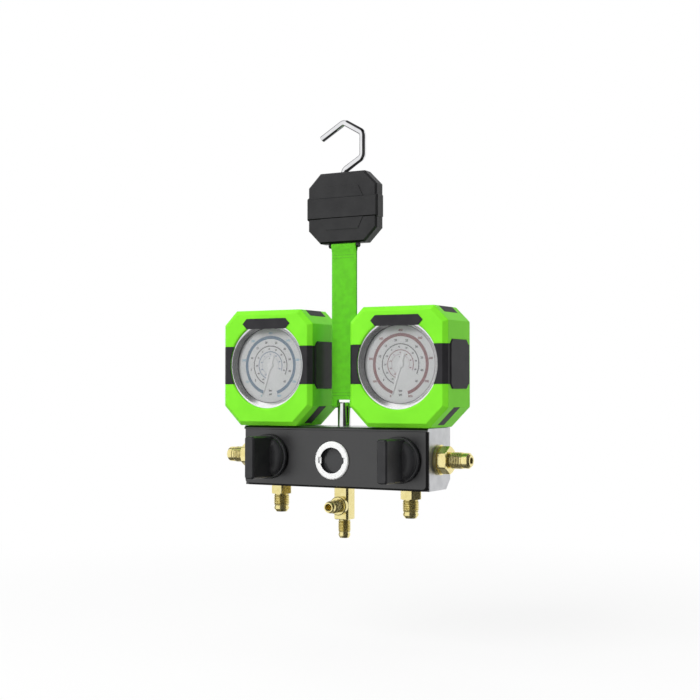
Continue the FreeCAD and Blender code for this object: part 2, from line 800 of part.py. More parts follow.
def pointer(x):
    """Pointer with a round hub and a counterweight tail, resting at the scale's zero."""
    half = pointer_width / 2.0
    blade = [(-half, 0.0), (-0.35, pointer_reach), (0.35, pointer_reach), (half, 0.0),
             (half * 1.2, -pointer_tail), (-half * 1.2, -pointer_tail)]
    plate = prism_y(blade, -pointer_back - pointer_thickness, -pointer_back)
    hub = round_y(pointer_hub_radius, -pointer_back - pointer_thickness, -pointer_back)
    both = plate.fuse(hub)
    both.rotate(Vector(0, 0, 0), BACK, pointer_zero)
    both.translate(Vector(x, 0, gauge_z))
    return both


# Rubber boots

def boot_form(x, grow):
    """Outer form of a boot, grown or shrunk by one distance on every side."""
    half = boot_width / 2.0 + grow
    more = grow * CORNER_SHARE
    return bevelled_octagon(half, boot_bottom - grow, boot_bottom + boot_height + grow,
                            boot_bottom_chamfer + more, boot_top_chamfer + more,
                            x, -boot_front - grow, boot_back + grow, (boot_bevel, boot_rear_bevel))


def badge_outline(x, margin):
    """Long hexagon of the badge, smaller by a margin."""
    half = badge_width / 2.0 - margin
    flat = badge_flat_width / 2.0 - margin * 0.5
    reach = badge_height / 2.0 - margin
    middle = gauge_z + badge_rise
    return [(x - half, middle), (x - flat, middle - reach), (x + flat, middle - reach),
            (x + half, middle), (x + flat, middle + reach), (x - flat, middle + reach)]


def trim_zones(x):
    """Blocks of space that mark where black trim is let into the boot."""
    half = boot_width / 2.0
    far = half + 2.0
    top = boot_bottom + boot_height
    zones = [box((x - far, x + far), (-boot_front - 2.0, boot_back - boot_rear_bevel - 1.0),
                 (gauge_z - band_height / 2.0, gauge_z + band_height / 2.0))]
    for side in (-1, 1):
        inner = x + side * (half - boot_top_chamfer)
        outer = inner + side * top_inset_width
        span = sorted((inner, outer))
        zones.append(box(span, (-top_inset_front, top_inset_back), (top - boot_top_chamfer, top + 2.0)))
        low_span = sorted((x + side * (half - boot_bottom_chamfer), x + side * far))
        zones.append(box(low_span, (-bottom_inset_front, bottom_inset_back),
                         (boot_bottom + bottom_inset_rise, boot_bottom + boot_bottom_chamfer)))
    return zones


def gauge_boot(x):
    """Green rubber boot with an octagonal outside and a round inside."""
    outer = boot_form(x, 0.0)
    bore_radius = bezel_radius + soft_clearance
    case_room = round_y(bore_radius, -boot_front + boot_lip, case_back + soft_clearance, x, gauge_z)
    opening = turned([(-boot_front - 1.0, 0.0), (-boot_front - 1.0, boot_opening_radius + boot_opening_bevel + 1.0),
                      (-boot_front + boot_opening_bevel, boot_opening_radius),
                      (-boot_front + boot_lip, boot_opening_radius), (-boot_front + boot_lip, 0.0)],
                     Vector(x, 0, gauge_z), BACK)
    rear = round_y(boot_rear_opening_radius, case_back, boot_back, x, gauge_z)
    socket_room = round_z(socket_width * 0.75, boot_bottom, gauge_z - case_radius, x)
    backing = prism_y(badge_outline(x, badge_backing_margin), -boot_front, -boot_front + boot_lip)
    shell = boot_form(x, 2.0).cut(boot_form(x, -trim_depth))
    zones = trim_zones(x)
    grooves = [shell.common(zone) for zone in zones]
    boot = outer.cut([case_room, opening, rear, socket_room])
    return boot.fuse(backing).cut(grooves).removeSplitter()


def boot_trim(x):
    """Black trim: the band round the middle with raised side pads, and the corner insets."""
    shell = boot_form(x, 0.0).cut(boot_form(x, -trim_depth))
    opening = round_y(boot_opening_radius, -boot_front - 1.0, 0.0, x, gauge_z)
    zones = trim_zones(x)
    band = shell.common(zones[0]).cut(opening)
    half = boot_width / 2.0
    pads = []
    for side in (-1, 1):
        inner = x + side * half
        reach = pad_height / 2.0

        def face(inset, distance):
            middle = (pad_back - pad_front) / 2.0
            half_depth = (pad_back + pad_front) / 2.0 - inset
            cut = pad_corner - inset * CORNER_SHARE
            points = octagon(half_depth, -reach + inset, reach - inset, cut, cut, middle)
            return [Vector(inner + side * distance, y, gauge_z + z) for y, z in points]

        pads.append(loft([face(0.0, 0.0), face(0.0, pad_rise - pad_chamfer), face(pad_chamfer, pad_rise)]))
    band = band.fuse(pads).removeSplitter()
    insets = [shell.common(zone) for zone in zones[1:]]
    top = boot_bottom + boot_height

    def top_face(inset, height):
        corners = octagon(top_pad_width / 2.0 - inset, -top_pad_depth / 2.0 + inset,
                          top_pad_depth / 2.0 - inset, 1.0, 1.0, x)
        return [Vector(px, py, height) for px, py in corners]

    top_pad = loft([top_face(0.0, top), top_face(top_pad_rise, top + top_pad_rise)])
    return solids_of([band] + insets + [top_pad])


def badge(x):
    """Bare badge above the dial."""
    return prism_y(badge_outline(x, 0.0), -boot_front - badge_thickness, -boot_front)


# Post and strap

def hanger_post():
    """Polished post on top of the block, cross-drilled for the strap's lower pin."""
    top = block_height + post_height
    profile = [(block_height - post_spigot_length, 0.0), (block_height - post_spigot_length, post_spigot_radius),
               (block_height, post_spigot_radius), (block_height, post_radius),
               (top - post_chamfer, post_radius), (top, post_radius - post_chamfer), (top, 0.0)]
    hole = round_x(post_pin_radius + seat_clearance, -post_radius - 1.0, post_radius + 1.0, 0.0, strap_foot_z)
    return turned(profile).cut(hole)


def post_pin():
    """Pin through the head of the post, inside the strap's lower loop."""
    reach = strap_width / 2.0 + post_pin_overhang
    return round_x(post_pin_radius, -reach, reach, 0.0, strap_foot_z)


def strap():
    """Doubled webbing strap with a sewn loop at each end and a window in the lower one for the post."""
    half = strap_width / 2.0
    lower_bore = post_pin_radius + running_clearance
    upper_bore = strap_pin_radius + running_clearance
    low = lower_bore + strap_ply
    high = upper_bore + strap_ply
    outline = [(-low * 0.94, strap_foot_z + low * 0.34), (low * 0.94, strap_foot_z + low * 0.34),
               (strap_ply, strap_foot_z + strap_taper), (strap_ply, strap_pin_z - strap_taper),
               (high * 0.94, strap_pin_z - high * 0.34), (-high * 0.94, strap_pin_z - high * 0.34),
               (-strap_ply, strap_pin_z - strap_taper), (-strap_ply, strap_foot_z + strap_taper)]
    web = prism_x(outline, -half, half)
    loops = [round_x(low, -half, half, 0.0, strap_foot_z), round_x(high, -half, half, 0.0, strap_pin_z)]
    eyes = [round_x(lower_bore, -half, half, 0.0, strap_foot_z), round_x(upper_bore, -half, half, 0.0, strap_pin_z)]
    reach = post_radius + strap_window_gap
    window = box((-reach, reach), (-2.0 * low, 2.0 * low),
                 (strap_foot_z - 2.0 * low, strap_foot_z + strap_window_rise))
    return web.fuse(loops).cut(eyes + [window]).removeSplitter()


def strap_pin():
    """Pin through the ears of the hook box, inside the strap's upper loop."""
    reach = strap_width / 2.0 + ear_gap + ear_width
    return round_x(strap_pin_radius, -reach, reach, 0.0, strap_pin_z)


# Hook box

def box_blank():
    """Whole outside of the hook box, with its band and its raised panels."""
    half = box_width / 2.0
    middle = (box_bottom + box_top) / 2.0
    body = bevelled_octagon(half, box_bottom, box_top, box_corner, box_corner, 0.0,
                            -box_front, box_back, (box_bevel, box_bevel))
    band_half = box_band_height / 2.0
    band = bevelled_octagon(half + band_side_rise, middle - band_half, middle + band_half, 1.0, 1.0, 0.0,
                            -box_front - band_rise, box_back - 1.0, (box_bevel, box_bevel))
    base = panel_base_width / 2.0
    top = panel_top_width / 2.0
    panels = []
    for way in (-1, 1):
        near = middle + way * (band_half - 1.0)
        far = middle + way * (band_half + panel_height)
        points = [(-base, near), (base, near), (top, far), (-top, far)]
        panels.append(prism_y(points, -box_front - panel_rise, -box_front + 1.0))
    return body.fuse([band] + panels)


def box_room():
    """Everything that is cut out of the hook box: head pocket, neck hole, loop slot and pin hole."""
    pocket_top = box_top - hook_collar_depth
    pocket = round_z(hook_head_radius + 0.2, pocket_top - hook_head_height - 0.6, pocket_top)
    neck_radius = hook_rod_radius + running_clearance
    neck = turned([(pocket_top - 1.0, 0.0), (pocket_top - 1.0, neck_radius), (box_top - hook_mouth_depth, neck_radius),
                   (box_top, neck_radius + hook_mouth_margin), (box_top + 1.0, neck_radius + hook_mouth_margin),
                   (box_top + 1.0, 0.0)])
    reach = strap_width / 2.0 + 0.5
    slot_half = strap_loop_radius + soft_clearance
    slot = box((-reach, reach), (-slot_half, slot_half), (box_bottom - 1.0, strap_pin_z + slot_half))
    return [pocket, neck, slot]


def box_ears():
    """Two ears under the hook box that hold the strap's pin."""
    ears = []
    for side in (-1, 1):
        near = strap_width / 2.0 + ear_gap
        span = sorted((side * near, side * (near + ear_width)))
        low = strap_pin_z - ear_half_depth
        outline = [(-ear_half_depth, box_bottom), (-ear_half_depth, strap_pin_z - 1.0),
                   (-ear_half_depth + 1.6, low), (ear_half_depth - 1.6, low),
                   (ear_half_depth, strap_pin_z - 1.0), (ear_half_depth, box_bottom)]
        ear = prism_x(outline, span[0], span[1])
        ears.append(ear.cut(round_x(strap_pin_radius + seat_clearance, span[0], span[1], 0.0, strap_pin_z)))
    return ears


def screw_places():
    """Middles of the four screws of the hook box as (x, z)."""
    middle = (box_bottom + box_top) / 2.0
    return [(side * box_screw_x, middle + way * box_screw_z) for side in (-1, 1) for way in (-1, 1)]


def screw_room():
    """Holes for the screws, reaching from the back shell into the front shell."""
    rooms = []
    for x, z in screw_places():
        rooms.append(round_y(box_screw_radius + seat_clearance, box_back - box_screw_length - 0.5, box_back, x, z))
        rooms.append(round_y(box_screw_head_radius + 0.2, box_back - box_screw_head - 0.4, box_back + 1.0, x, z))
    return rooms


def hook_box_front():
    """Front shell of the hook box with the ears for the strap's pin."""
    zone = box((-box_width, box_width), (-box_width, box_parting), (box_bottom - box_height, box_top + box_height))
    shell = box_blank().common(zone)
    return shell.cut(box_room() + screw_room()).fuse(box_ears()).removeSplitter()


def hook_box_rear():
    """Rear shell of the hook box, pocketed for the magnet."""
    zone = box((-box_width, box_width), (box_parting, box_width), (box_bottom - box_height, box_top + box_height))
    middle = (box_bottom + box_top) / 2.0
    pocket = round_y(magnet_radius + 0.1, box_back - magnet_thickness, box_back + 1.0, 0.0, middle)
    shell = box_blank().common(zone)
    return shell.cut(box_room() + screw_room() + [pocket]).removeSplitter()


def magnet():
    """Pot magnet, level with the back of the box."""
    middle = (box_bottom + box_top) / 2.0
    disc = round_y(magnet_radius, box_back - magnet_thickness, box_back, 0.0, middle)
    groove = round_y(magnet_radius - 3.0, box_back - 0.6, box_back, 0.0, middle)
    core = round_y(magnet_radius - 5.0, box_back - 0.6, box_back, 0.0, middle)
    return disc.cut(groove.cut(core))


def box_screws():
    """Four screws that hold the two shells together."""
    screws = []
    for x, z in screw_places():
        head_back = box_back - 0.4
        profile = [(head_back - box_screw_length + 0.4, 0.0), (head_back - box_screw_length + 0.4, box_screw_radius),
                   (head_back - box_screw_head, box_screw_radius), (head_back - box_screw_head, box_screw_head_radius),
                   (head_back, box_screw_head_radius - 0.4), (head_back, 0.0)]
        screws.append(turned(profile, Vector(x, 0, z), BACK))
    return screws


# Hook

def hook():
    """Rod bent to an open hexagon, with a head that turns inside the box."""
    wide = hook_side * math.cos(math.radians(30.0))
    half_side = hook_side / 2.0
    head_top = box_top - hook_collar_depth - 0.1
    slope = Vector(-math.cos(math.radians(30.0)), 0, -0.5)
    peak = Vector(0, 0, hook_peak_z)
    points = [Vector(0, 0, head_top - 1.0), Vector(0, 0, hook_foot_z), Vector(wide, 0, hook_foot_z + half_side),
              Vector(wide, 0, hook_foot_z + half_side + hook_side), peak, peak + slope * hook_tip_length]
    rod = bent_rod(points, hook_bend_radius, hook_rod_radius)
    head = round_z(hook_head_radius, head_top - hook_head_height, head_top)
    return rod.fuse(head).removeSplitter()


# Writing

def solids_of(shapes):
    """Every solid in a list of shapes."""
    found = []
    for shape in shapes:
        found += shape.Solids
    return found


def write_node(name, shape):
    """Lower one node to the part's origin and write it."""
    solids = solids_of(shape) if isinstance(shape, list) else shape.Solids
    if not solids:
        raise ValueError("no solid in " + name)
    for solid in solids:
        if not solid.isValid():
            raise ValueError("bad solid in " + name)
    node = solids[0].copy() if len(solids) == 1 else Part.makeCompound(solids)
    node.translate(Vector(0, 0, -hang_height))
    node.exportStep("parts/" + name + ".step")


def write_manifold():
    """Block, plate, window, ports and tee."""
    write_node("manifold_block", manifold_block())
    write_node("front_plate", front_plate())
    write_node("sight_ring", sight_ring())
    write_node("sight_glass", sight_glass())
    write_node("sight_seal", sight_seal())
    write_node("service_tee", service_tee())
    half = block_width / 2.0
    write_node("left_side_port", placed(side_port(), Vector(-half, 0, valve_height), LEFT))
    write_node("right_side_port", placed(side_port(), Vector(half, 0, valve_height), RIGHT))
    write_node("left_hose_port", placed(hose_port(), Vector(-port_x, 0, 0), DOWN))
    write_node("right_hose_port", placed(hose_port(), Vector(port_x, 0, 0), DOWN))


def write_side(side, x):
    """Valve, knob, gauge and boot of one side."""
    makers = {"valve_bonnet": valve_bonnet, "valve_piston": valve_piston, "piston_ring": piston_ring,
              "valve_stem": valve_stem, "knob": knob, "gauge_socket": gauge_socket,
              "gauge_case": gauge_case, "gauge_bezel": gauge_bezel, "gauge_lens": gauge_lens,
              "lens_gasket": lens_gasket, "gauge_dial": gauge_dial, "bourdon_tube": bourdon_tube,
              "movement_frame": movement_frame, "pinion": pinion, "sector_gear": sector_gear,
              "pointer": pointer, "gauge_boot": gauge_boot, "boot_trim": boot_trim, "badge": badge}
    for name, maker in makers.items():
        write_node(side + "_" + name, maker(x))


def write_hanger():
    """Post, strap, hook box and hook."""
    write_node("hanger_post", hanger_post())
    write_node("post_pin", post_pin())
    write_node("strap", strap())
    write_node("strap_pin", strap_pin())
    write_node("hook_box_front", hook_box_front())
    write_node("hook_box_rear", hook_box_rear())
    write_node("magnet", magnet())
    write_node("box_screws", box_screws())
    write_node("hook", hook())


os.makedirs("parts", exist_ok=True)
write_manifold()
write_side("left", -port_x)
write_side("right", port_x)
write_hanger()
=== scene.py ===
"""Dressed model of a two-valve refrigerant manifold gauge that hangs from a strap and a hook.

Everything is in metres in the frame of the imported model: +X to the right, +Y to the back and +Z up,
with the origin where the hook rests. Sub-assemblies are classes, and each finish is a frozen
dataclass that builds a procedural material on Object coordinates.
"""

from __future__ import annotations

import json
import logging
import math
from dataclasses import dataclass, field
from enum import Enum
from typing import Iterable, Sequence

import bmesh
import bpy
import numpy as np
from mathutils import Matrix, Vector

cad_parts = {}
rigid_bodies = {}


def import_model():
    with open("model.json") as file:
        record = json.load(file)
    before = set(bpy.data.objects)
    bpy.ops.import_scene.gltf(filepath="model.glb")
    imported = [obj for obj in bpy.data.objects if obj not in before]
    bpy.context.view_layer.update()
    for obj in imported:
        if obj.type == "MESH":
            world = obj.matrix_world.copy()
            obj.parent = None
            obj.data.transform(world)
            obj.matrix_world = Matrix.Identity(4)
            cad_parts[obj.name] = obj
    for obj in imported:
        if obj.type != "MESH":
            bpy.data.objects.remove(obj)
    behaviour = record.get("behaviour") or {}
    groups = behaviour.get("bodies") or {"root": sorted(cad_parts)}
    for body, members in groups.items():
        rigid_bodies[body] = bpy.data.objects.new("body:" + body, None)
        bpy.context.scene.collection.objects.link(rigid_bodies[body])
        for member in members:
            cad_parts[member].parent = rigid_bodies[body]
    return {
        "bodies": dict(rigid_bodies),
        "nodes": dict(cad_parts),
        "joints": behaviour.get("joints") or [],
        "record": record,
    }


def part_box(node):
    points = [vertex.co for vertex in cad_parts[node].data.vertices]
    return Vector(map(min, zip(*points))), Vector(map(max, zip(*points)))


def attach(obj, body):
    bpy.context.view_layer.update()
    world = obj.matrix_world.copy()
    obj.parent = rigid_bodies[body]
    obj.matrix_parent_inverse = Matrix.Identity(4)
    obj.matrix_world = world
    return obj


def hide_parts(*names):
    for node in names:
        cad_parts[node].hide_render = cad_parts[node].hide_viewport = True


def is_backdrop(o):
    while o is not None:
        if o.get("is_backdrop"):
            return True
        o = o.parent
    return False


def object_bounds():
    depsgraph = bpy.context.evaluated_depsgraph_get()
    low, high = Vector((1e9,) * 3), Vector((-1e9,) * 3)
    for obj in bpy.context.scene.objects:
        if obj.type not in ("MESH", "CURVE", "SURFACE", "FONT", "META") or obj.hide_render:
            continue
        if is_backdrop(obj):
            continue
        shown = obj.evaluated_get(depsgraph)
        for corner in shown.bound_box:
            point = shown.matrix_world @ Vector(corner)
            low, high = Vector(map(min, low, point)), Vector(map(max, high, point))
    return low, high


log = logging.getLogger("manifold_gauge")

Array = np.ndarray
Colour = tuple[float, float, float]
Socket = bpy.types.NodeSocket
MM = 0.001
PHOTO_PIXELS = 700
SIDES = {"left": -1.0, "right": 1.0}

# Noise values mostly keep to this range.
NOISE_RANGE = (0.3, 0.7)
# A finish mixes its two colours over these values of a broad noise and takes its grain from a fine one.
PATCH_EDGES = (0.35, 0.65)
PATCH_DETAIL = 3.0
GRAIN_DETAIL = 4.0
COAT_ROUGHNESS = 0.12

# Cleaning of a CAD mesh before its edges are rounded, and the smallest angle between faces that is
# rounded then: metres and degrees. New meshes are welded at a distance of their own.
MERGE_DISTANCE = 2e-6
SLIVER_DISTANCE = 1e-5
FLAT_ANGLE = 0.8
ROUND_ANGLE = 28.0
WELD_DISTANCE = 1e-7
# Smallest cosine between a face's normal and a direction that it counts as looking along.
FACING = 0.9

# A dial's ticks between two long ones are this share as long, and its figures need this font size
# and this extra weight for each metre of their height.
SHORT_TICK = 0.55
FIGURE_SIZE = 1.4
FIGURE_WEIGHT = 0.06


class Slot(Enum):
    """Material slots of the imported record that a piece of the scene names."""

    BLOCK = "bare_block"
    PLATE = "black_plate"
    RING = "white_ring"
    BRASS = "brass"
    BRIGHT = "bright_steel"
    PLASTIC = "knob_black"
    BOOT = "boot_green"
    TRIM = "trim_black"
    DIAL = "dial_white"
    POINTER = "pointer_black"
    STRAP = "strap_green"
    MAGNET = "magnet_grey"


class Grain(Enum):
    """Direction in which a surface's grain is drawn out."""

    EVEN = (1.0, 1.0, 1.0)
    ALONG_X = (0.02, 1.0, 1.0)


# Node trees


class Tree:
    """Short way to write a node tree."""

    def __init__(self, tree: bpy.types.NodeTree) -> None:
        """Take a tree and empty it.

        Args:
            tree: The tree.
        """
        self.tree = tree
        self.tree.nodes.clear()

    def add(self, kind: str, **settings: object) -> bpy.types.Node:
        """Add a node.

        Args:
            kind: The node's type.
            settings: Properties to set on it.

        Returns:
            The new node.
        """
        node = self.tree.nodes.new(kind)
        for key, value in settings.items():
            setattr(node, key, value)
        return node

    def link(self, source: Socket, target: Socket) -> None:
        """Join two sockets."""
        self.tree.links.new(source, target)

    def combine(self, operation: str, *values: Socket | float) -> Socket:
        """Combine values by one operation.

        Args:
            operation: The operation's name.
            values: Sockets or plain numbers.

        Returns:
            The result's socket.
        """
        node = self.add("ShaderNodeMath", operation=operation)
        for place, value in zip(node.inputs, values):
            if isinstance(value, Socket):
                self.link(value, place)
            else:
                place.default_value = value
        return node.outputs["Value"]

    def step(self, value: Socket, low: float, high: float, first: float, last: float) -> Socket:
        """Add a smooth step from one value to another.

        Args:
            value: The value's socket.
            low: Where the step begins.
            high: Where the step ends.
            first: Result before the step.
            last: Result after the step.

        Returns:
            The result's socket.
        """
        step = self.add("ShaderNodeMapRange", interpolation_type="SMOOTHSTEP")
        step.inputs["From Min"].default_value = low
        step.inputs["From Max"].default_value = high
        step.inputs["To Min"].default_value = first
        step.inputs["To Max"].default_value = last
        self.link(value, step.inputs["Value"])
        return step.outputs["Result"]


class Nodes(Tree):
    """Node tree of a new material."""

    def __init__(self, name: str) -> None:
        """Start an empty material.

        Args:
            name: The material's name.
        """
        self.material = bpy.data.materials.new(name)
        self.material.use_nodes = True
        super().__init__(self.material.node_tree)
        self.output = self.add("ShaderNodeOutputMaterial")
        self.coordinates = self.add("ShaderNodeTexCoord").outputs["Object"]

    def noise(self, scale: float, detail: float, stretch: Sequence[float] = (1.0, 1.0, 1.0)) -> Socket:
        """Add a noise on Object coordinates.

        Args:
            scale: Features per metre.
            detail: Levels of finer noise.
            stretch: Share of the scale on each axis.

        Returns:
            The noise value's socket.
        """
        mapping = self.add("ShaderNodeMapping")
        mapping.inputs["Scale"].default_value = stretch
        self.link(self.coordinates, mapping.inputs["Vector"])
        noise = self.add("ShaderNodeTexNoise")
        noise.inputs["Scale"].default_value = scale
        noise.inputs["Detail"].default_value = detail
        self.link(mapping.outputs["Vector"], noise.inputs["Vector"])
        return noise.outputs["Fac"]

    def ramp(self, value: Socket, low: float, high: float,
             first: Colour, last: Colour) -> Socket:
        """Turn a value into a colour between two colours.

        Args:
            value: The value's socket.
            low: Value that gives the first colour.
            high: Value that gives the last colour.
            first: Colour at the low end.
            last: Colour at the high end.

        Returns:
            The colour's socket.
        """
        ramp = self.add("ShaderNodeValToRGB")
        ramp.color_ramp.elements[0].position = low
        ramp.color_ramp.elements[0].color = (*first, 1.0)
        ramp.color_ramp.elements[1].position = high
        ramp.color_ramp.elements[1].color = (*last, 1.0)
        self.link(value, ramp.inputs["Fac"])
        return ramp.outputs["Color"]

    def spread(self, value: Socket, low: float, high: float) -> Socket:
        """Map a noise value of about 0.3 to 0.7 to a range.

        Args:
            value: The value's socket.
            low: Result at the low end.
            high: Result at the high end.

        Returns:
            The mapped value's socket.
        """
        spread = self.add("ShaderNodeMapRange")
        spread.inputs["From Min"].default_value = NOISE_RANGE[0]
        spread.inputs["From Max"].default_value = NOISE_RANGE[1]
        spread.inputs["To Min"].default_value = low
        spread.inputs["To Max"].default_value = high
        self.link(value, spread.inputs["Value"])
        return spread.outputs["Result"]

    def bump(self, height: Socket, depth: float) -> Socket:
        """Turn a height into a bent normal.

        Args:
            height: The height's socket.
            depth: Height of a full step in metres.

        Returns:
            The normal's socket.
        """
        bump = self.add("ShaderNodeBump")
        bump.inputs["Distance"].default_value = depth
        bump.inputs["Strength"].default_value = 1.0
        self.link(height, bump.inputs["Height"])
        return bump.outputs["Normal"]

    def principled(self) -> bpy.types.Node:
        """Add the surface shader and join it to the output.

        Returns:
            The shader node.
        """
        shader = self.add("ShaderNodeBsdfPrincipled")
        self.link(shader.outputs["BSDF"], self.output.inputs["Surface"])
        return shader


@dataclass(frozen=True)
class Finish:
    """Mottled surface with grain in its gloss and in its relief."""

    name: str
    colour: Colour
    shade: Colour
    gloss: tuple[float, float]
    metal: float = 0.0
    patch: float = 60.0
    grain: float = 1500.0
    depth: float = 0.0
    grain_way: Grain = Grain.EVEN
    coat: float = 0.0
    sheen: float = 0.0
    specular: float = 0.5

    def build(self) -> bpy.types.Material:
        """Make the material.

        Returns:
            The material.
        """
        nodes = Nodes(self.name)
        shader = nodes.principled()
        patches = nodes.noise(self.patch, PATCH_DETAIL, self.grain_way.value)
        colour = nodes.ramp(patches, *PATCH_EDGES, self.shade, self.colour)
        nodes.link(colour, shader.inputs["Base Color"])
        fine = nodes.noise(self.grain, GRAIN_DETAIL, self.grain_way.value)
        nodes.link(nodes.spread(fine, *self.gloss), shader.inputs["Roughness"])
        if self.depth > 0.0:
            nodes.link(nodes.bump(fine, self.depth), shader.inputs["Normal"])
        shader.inputs["Metallic"].default_value = self.metal
        shader.inputs["Coat Weight"].default_value = self.coat
        shader.inputs["Coat Roughness"].default_value = COAT_ROUGHNESS
        shader.inputs["Sheen Weight"].default_value = self.sheen
        shader.inputs["Specular IOR Level"].default_value = self.specular
        return nodes.material


@dataclass(frozen=True)
class WebbingFinish:
    """Woven ribbon: the weave follows the piece's own UV map, U across and V along, in metres."""

    name: str
    colour: Colour
    shade: Colour
    rib: float = 0.0011
    pick: float = 0.0008
    patch: float = 180.0
    fading: tuple[float, float] = (-0.15, 0.35)
    contrast: tuple[float, float] = (0.05, 0.8)
    gloss: tuple[float, float] = (0.75, 0.9)
    depth: float = 0.00025
    sheen: float = 0.25
    specular: float = 0.3

    def build(self) -> bpy.types.Material:
        """Make the material.

        Returns:
            The material.
        """
        nodes = Nodes(self.name)
        shader = nodes.principled()
        place = nodes.add("ShaderNodeSeparateXYZ")
        nodes.link(nodes.add("ShaderNodeUVMap", uv_map="weave").outputs["UV"], place.inputs["Vector"])
        across = self._wave(nodes, place.outputs["X"], self.rib)
        along = self._wave(nodes, place.outputs["Y"], self.pick)
        # The base colour darkens where the weave is low: painted shade in the hollows between the threads,
        # with the broad patches as random tone.
        weave = nodes.combine("MULTIPLY", across, along)
        patches = nodes.noise(self.patch, PATCH_DETAIL)
        weave_shade_and_tone = nodes.combine("ADD", weave, nodes.spread(patches, *self.fading))
        nodes.link(nodes.ramp(weave_shade_and_tone, *self.contrast, self.shade, self.colour), shader.inputs["Base Color"])
        nodes.link(nodes.spread(patches, *self.gloss), shader.inputs["Roughness"])
        nodes.link(nodes.bump(weave, self.depth), shader.inputs["Normal"])
        shader.inputs["Sheen Weight"].default_value = self.sheen
        shader.inputs["Specular IOR Level"].default_value = self.specular
        return nodes.material

    @staticmethod
    def _wave(nodes: Nodes, value: Socket, period: float) -> Socket:
        """Raise one rounded thread per period: the absolute value of a sine.

        Args:
            nodes: The tree to add to.
            value: Place in metres.
            period: Width of a thread in metres.

        Returns:
            The height's socket.
        """
        turn = nodes.combine("MULTIPLY", value, math.pi / period)
        return nodes.combine("ABSOLUTE", nodes.combine("SINE", turn))


@dataclass(frozen=True)
class GlassFinish:
    """Clear or tinted glass with faint smears in its gloss."""

    name: str
    colour: Colour
    clarity: float
    alpha: float
    smear: float = 40.0
    fading: float = 0.96
    gloss: tuple[float, float] = (0.02, 0.06)
    index: float = 1.45

    def build(self) -> bpy.types.Material:
        """Make the material.

        Returns:
            The material.
        """
        nodes = Nodes(self.name)
        shader = nodes.principled()
        smear = nodes.noise(self.smear, GRAIN_DETAIL)
        tint = tuple(channel * self.fading for channel in self.colour)
        nodes.link(nodes.ramp(smear, *NOISE_RANGE, tint, self.colour), shader.inputs["Base Color"])
        nodes.link(nodes.spread(smear, *self.gloss), shader.inputs["Roughness"])
        shader.inputs["Transmission Weight"].default_value = self.clarity
        shader.inputs["Alpha"].default_value = self.alpha
        shader.inputs["IOR"].default_value = self.index
        return nodes.material


BLOCK = Finish("satin_aluminium", (0.61, 0.615, 0.63), (0.53, 0.535, 0.55), (0.28, 0.40), metal=0.85,
               patch=120.0, grain=2600.0, depth=0.00002, grain_way=Grain.ALONG_X)
PLATE = Finish("black_anodised_plate", (0.012, 0.012, 0.013), (0.009, 0.009, 0.010), (0.26, 0.36),
               patch=45.0, grain=5200.0, depth=0.000012, specular=0.9)
SIGHT_RING = Finish("pearl_nickel_ring", (0.96, 0.96, 0.955), (0.92, 0.92, 0.92), (0.22, 0.34), patch=220.0,
                    grain=3000.0, depth=0.00001, coat=0.3)
BRASS = Finish("polished_brass", (0.93, 0.82, 0.40), (0.86, 0.74, 0.32), (0.14, 0.20), metal=0.9,
               patch=240.0, grain=1400.0, depth=0.000003)
# Darker brass for the roots of the threads: painted shade in the grooves.
BRASS_ROOT_SHADE = Finish("brass_thread_root_shade", (0.60, 0.52, 0.22), (0.52, 0.44, 0.17), (0.26, 0.36), metal=0.8,
                    patch=240.0)
# Near black for the faces under the hook box's raised band: painted shade.
PAINTED_BAND_SHADE = Finish("painted_band_shade", (0.006, 0.006, 0.006), (0.004, 0.004, 0.004), (0.6, 0.7), patch=300.0,
             specular=0.1)
STEEL = Finish("turned_steel", (0.62, 0.62, 0.63), (0.52, 0.52, 0.53), (0.24, 0.38), metal=1.0,
               patch=200.0, grain=2600.0, depth=0.00001)
CHROME = Finish("bright_chrome", (0.84, 0.84, 0.85), (0.76, 0.76, 0.78), (0.06, 0.12), metal=1.0,
                patch=150.0, grain=1800.0, depth=0.000003)
BEZEL = Finish("spun_bezel", (0.92, 0.92, 0.93), (0.86, 0.86, 0.87), (0.17, 0.23), metal=0.85,
               patch=160.0, grain=2600.0, depth=0.000002)
PLASTIC = Finish("moulded_black_plastic", (0.024, 0.024, 0.025), (0.018, 0.018, 0.019), (0.42, 0.54),
                 patch=70.0, grain=2200.0, depth=0.00003, specular=0.35)
KNOB = Finish("moulded_knob_plastic", (0.026, 0.026, 0.028), (0.019, 0.019, 0.021), (0.32, 0.44),
              patch=90.0, grain=2600.0, depth=0.00002, specular=0.45)
BOOT = Finish("green_boot_rubber", (0.232, 0.86, 0.028), (0.210, 0.81, 0.024), (0.46, 0.58),
              patch=50.0, grain=2400.0, depth=0.00003, specular=0.22)
TRIM = Finish("black_trim_rubber", (0.027, 0.026, 0.029), (0.020, 0.019, 0.022), (0.50, 0.62),
              patch=80.0, grain=2600.0, depth=0.00003, specular=0.3)
SEAL = Finish("seal_rubber", (0.02, 0.02, 0.02), (0.012, 0.012, 0.012), (0.5, 0.65), depth=0.00002)
DIAL = Finish("dial_enamel", (0.47, 0.475, 0.48), (0.44, 0.445, 0.45), (0.42, 0.52), patch=90.0, grain=4000.0,
              depth=0.000004)
INK_RED = Finish("dark_red_ink", (0.15, 0.030, 0.036), (0.11, 0.022, 0.026), (0.5, 0.6), patch=600.0)
INK_BLUE = Finish("slate_blue_ink", (0.040, 0.10, 0.17), (0.030, 0.08, 0.14), (0.5, 0.6), patch=600.0)
INK_BLACK = Finish("black_ink", (0.03, 0.03, 0.035), (0.02, 0.02, 0.022), (0.5, 0.6), patch=600.0)
INK_SKY = Finish("pale_blue_ink", (0.17, 0.31, 0.39), (0.14, 0.27, 0.34), (0.5, 0.6), patch=600.0)
